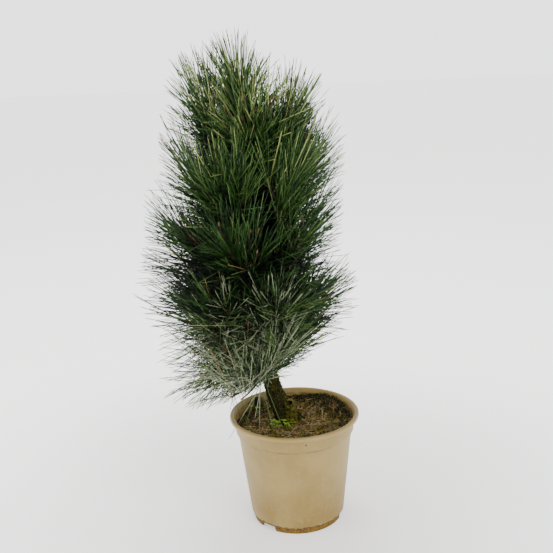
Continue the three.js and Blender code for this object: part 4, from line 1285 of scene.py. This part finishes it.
seat_lists = {kind: [] for kind in NEEDLE_COLOURS}
for number, shoot in enumerate(shoots + old_wood):
    dice = np.random.default_rng(900 + number)
    count = round(shoot.length / PAIR_SPACING[shoot.kind])
    share = np.sort(dice.uniform(0, 1, count)) ** TIPWARD
    spot = shoot.start + (shoot.end - shoot.start) * share
    centre = shoot.curve(spot)
    x, z = centre[:, 0], centre[:, 2]
    along_shoot = unit(shoot.curve(spot + 0.004) - shoot.curve(spot - 0.004))
    side_of = unit(shoot.across - along_shoot * (along_shoot @ shoot.across)[:, None])
    front_of = np.cross(side_of, along_shoot)
    turn = GOLDEN_TURN * np.arange(count) + dice.uniform(0, 6.28)
    outward = side_of * np.cos(turn)[:, None] + front_of * np.sin(turn)[:, None]
    spread = SPREAD_AT_ROOT + (SPREAD_AT_TIP[shoot.kind] - SPREAD_AT_ROOT) * share
    spread = np.radians(spread + dice.uniform(-0.5, 0.5, count) * SPREAD_JITTER)[:, None]
    wood_radius = shoot.root_radius + (shoot.tip_radius - shoot.root_radius) * share
    root = centre + outward * (wood_radius * ROOT_DEPTH)[:, None]
    spray_tone = dice.uniform(-0.05, 0.05)

    # Where the shoot's needles are in the crown, and which way the light draws them there.
    areas = [area_share(centre, fades) for fades in REGIONS.values()]
    droop, curly_front, low_left, low_right, right, front, lowest = areas
    middle_x, half = crown_middle(z)
    flow = centre - np.stack([middle_x, np.zeros(count), z], -1)
    away = np.linalg.norm(flow, axis=1)
    flow /= np.maximum(away, 40)[:, None]
    turned = FLOW_SHARE * ease(away / half, 0.12, 0.5) * (1 - 0.7 * curly_front)
    climb = np.radians(by_height(z, NEEDLE_FLOW) + RIGHT_LIFT * right)
    flow = flow * np.cos(climb)[:, None] + np.sin(climb)[:, None] * (0, 0, 1)
    at_side = (np.abs(x - middle_x) > 0.4 * half) & (z > 250)
    in_band = (z > WISPY_BAND[0]) & (z < WISPY_BAND[1])
    wispy = (1 + 1.5 * ease(-x, 115, 150) * in_band) * STRAY_SHARE
    low_front = (z < 320) & (x > -60)
    for twin in (-1, 1):
        apart = twin * math.radians(PAIR_ANGLE) * dice.uniform(0.3, 1.6, count)
        heading = along_shoot * np.cos(spread) + outward * np.sin(spread)
        heading += np.cross(along_shoot, outward) * apart[:, None]
        heading += (flow - heading) * turned[:, None]
        heading[:, 2] += FRONT_LIFT * front
        heading += dice.normal(0, 1, (count, 3)) * (SCATTER[0] + SCATTER[1] * curly_front)[:, None]
        heading = unit(heading)
        curl = dice.normal(0, 1, (count, 3)) * (CURL[0] + CURL[1] * curly_front)[:, None]
        curl[:, 2] -= np.hypot(heading[:, 0], heading[:, 1]) * (SAG[0] + SAG[1] * droop)
        length = dice.uniform(*LENGTH_SPREAD, count) + LONGER[0] * curly_front + LONGER[1] * low_left
        length *= NEEDLE_LENGTH
        length *= LEADER_NEEDLES if shoot.kind == "leader" else 1

        # Needles that would end outside the crown are shorter or left out, but for a few strays.
        spare = EDGE_SPARE - (by_height(z, EDGE_THINNING) + EDGE_SPARE) * dice.uniform(0, 1, count)
        stray = at_side & (dice.uniform(0, 1, count) < wispy)
        spare[stray] = STRAY_SPARE
        for shares, among in zip(SHORTENED, (True, low_front)):
            too_long = outside_crown(root + (heading + curl) * length[:, None], spare) & among
            length = np.where(too_long, length * dice.uniform(*shares, count), length)
        probes = [root + (heading * t + curl * t * t) * length[:, None] for t in np.linspace(0.1, 1, 13)]
        half_way, tip = probes[5], probes[-1]
        tip_x, tip_half = crown_middle(tip[:, 2])
        at_edge = ease(np.hypot(tip[:, 0] - tip_x, 0.8 * tip[:, 1]) / tip_half, *EDGE_FROM)
        at_edge *= by_height(tip[:, 2], EDGE_OPENNESS)
        at_edge *= 1 + WISP_SHARE * rough(tip, WISP_SIZE, 2, 15.0)
        thinned = np.maximum(at_edge, CURLY_OPENNESS * curly_front)
        if shoot.kind != "leader":
            thinned = np.maximum(thinned, TOP_THINNING * ease(tip[:, 2], *TOP_FROM))
        thinned[stray] = 0
        keep = ~outside_crown(tip, spare) & (dice.uniform(0, 1, count) > thinned)
        crossing = dice.uniform(0, 1, count) > GAP_OPENNESS
        for probe in probes:
            keep &= crossing | ~in_front_gap(probe)
        for probe in probes[3::3]:
            keep &= clear_of_limbs(probe, 1)

        # Colours: deep green, lighter higher up, then the bleached, the painted shade deep inside the crown,
        # and the withered.
        half_way_x, half_way_half = crown_middle(half_way[:, 2])
        depth = np.hypot(half_way[:, 0] - half_way_x, half_way[:, 1]) / half_way_half
        # The top, the lowest needles, the curly front and much of the low left get less of the painted shade.
        for lit in (ease(tip[:, 2], *LIT_TOP), lowest, curly_front, 0.75 * low_left):
            depth = np.maximum(depth, lit)
        high_up = ease(tip[:, 2], *OLIVE_RISE)
        olive = 0.14 + 0.42 * high_up + 0.3 * low_left + 0.16 * low_right + 0.25 * curly_front
        pick = dice.uniform(0, 1, count) + spray_tone
        kind = np.full(count, "deep", "<U5")
        kind[pick < 0.52 + 0.3 * high_up + 0.3 * low_left] = "leaf"
        kind[pick < olive] = "olive"
        kind[pick < -0.02 + 0.26 * high_up**3 + 0.1 * low_left] = "pale"
        bleached = curly_front * ease(heading[:, 0], 0.8, 0.3)
        shaded = ease(depth + 0.1 * ease(z, 440, 560), *SHADED_INSIDE)
        for label, odds in (
            ("grey", 0.62 * bleached + 0.06 * droop),
            ("shade", shaded + 0.05 * curly_front),
            ("straw", 0.002 + 0.008 * droop),
            ("rust", 0.003 + 0.02 * droop),
        ):
            kind[dice.uniform(0, 1, count) < odds] = label
        seen_x, seen_z = seen_flat(half_way)
        for patch_x, patch_z, radius in WITHERED:
            in_patch = np.hypot(seen_x - patch_x, seen_z - patch_z) < radius
            kind[in_patch & (dice.uniform(0, 1, count) < WITHERED_SHARE)] = "rust"
        side = unit(dice.normal(0, 1, (count, 3)))
        seats = dict(root=root, heading=heading, side=side, bend=curl, length=length)
        for label, seat_list in seat_lists.items():
            chosen = keep & (kind == label)
            seat_list.append({key: value[chosen] for key, value in seats.items()})

# Loose old needles hang from the lowest left boughs in front of the trunk and the pot's far wall.
HANGING_COUNT = 16
dice = np.random.default_rng(14)
lowest_boughs = [stems["low_1"], stems["low_2"]]
hanging = []
for number in range(HANGING_COUNT):
    shoot = lowest_boughs[number % len(lowest_boughs)]
    hanging.append(shoot.curve(shoot.start + (shoot.end - shoot.start) * dice.uniform(0, 0.7)))
root = np.array(hanging)
heading = np.array([-0.1, -0.1, -1]) + dice.normal(0, 0.3, root.shape) * (1, 0.5, 1)
length = NEEDLE_LENGTH * dice.uniform(0.6, 0.98, len(root))
hanging_seats = seats_at(root, heading, length, dice.normal(0, 0.2, root.shape), dice)
for label, chosen in (("grey", slice(0, 7)), ("olive", slice(7, HANGING_COUNT))):
    seat_lists[label].append({key: value[chosen] for key, value in hanging_seats.items()})

mass_nodes = [f"foliage_{stem.mass}" for _, _, stem in masses]
for label, hex_colour in NEEDLE_COLOURS.items():
    seats = {key: np.concatenate([part[key] for part in seat_lists[label]]) for key in seats}
    stood_for = mass_nodes if label == "deep" else []
    coat = plain_coat(f"needle_wax_{label}", hex_colour, 0.42, 0.25)
    width = GREY_NEEDLE_WIDTH if label == "grey" else NEEDLE_WIDTH
    grown(f"needles_{label}", seats, needle_shape, coat, "needles", width, NEEDLE_THICKNESS, *stood_for)
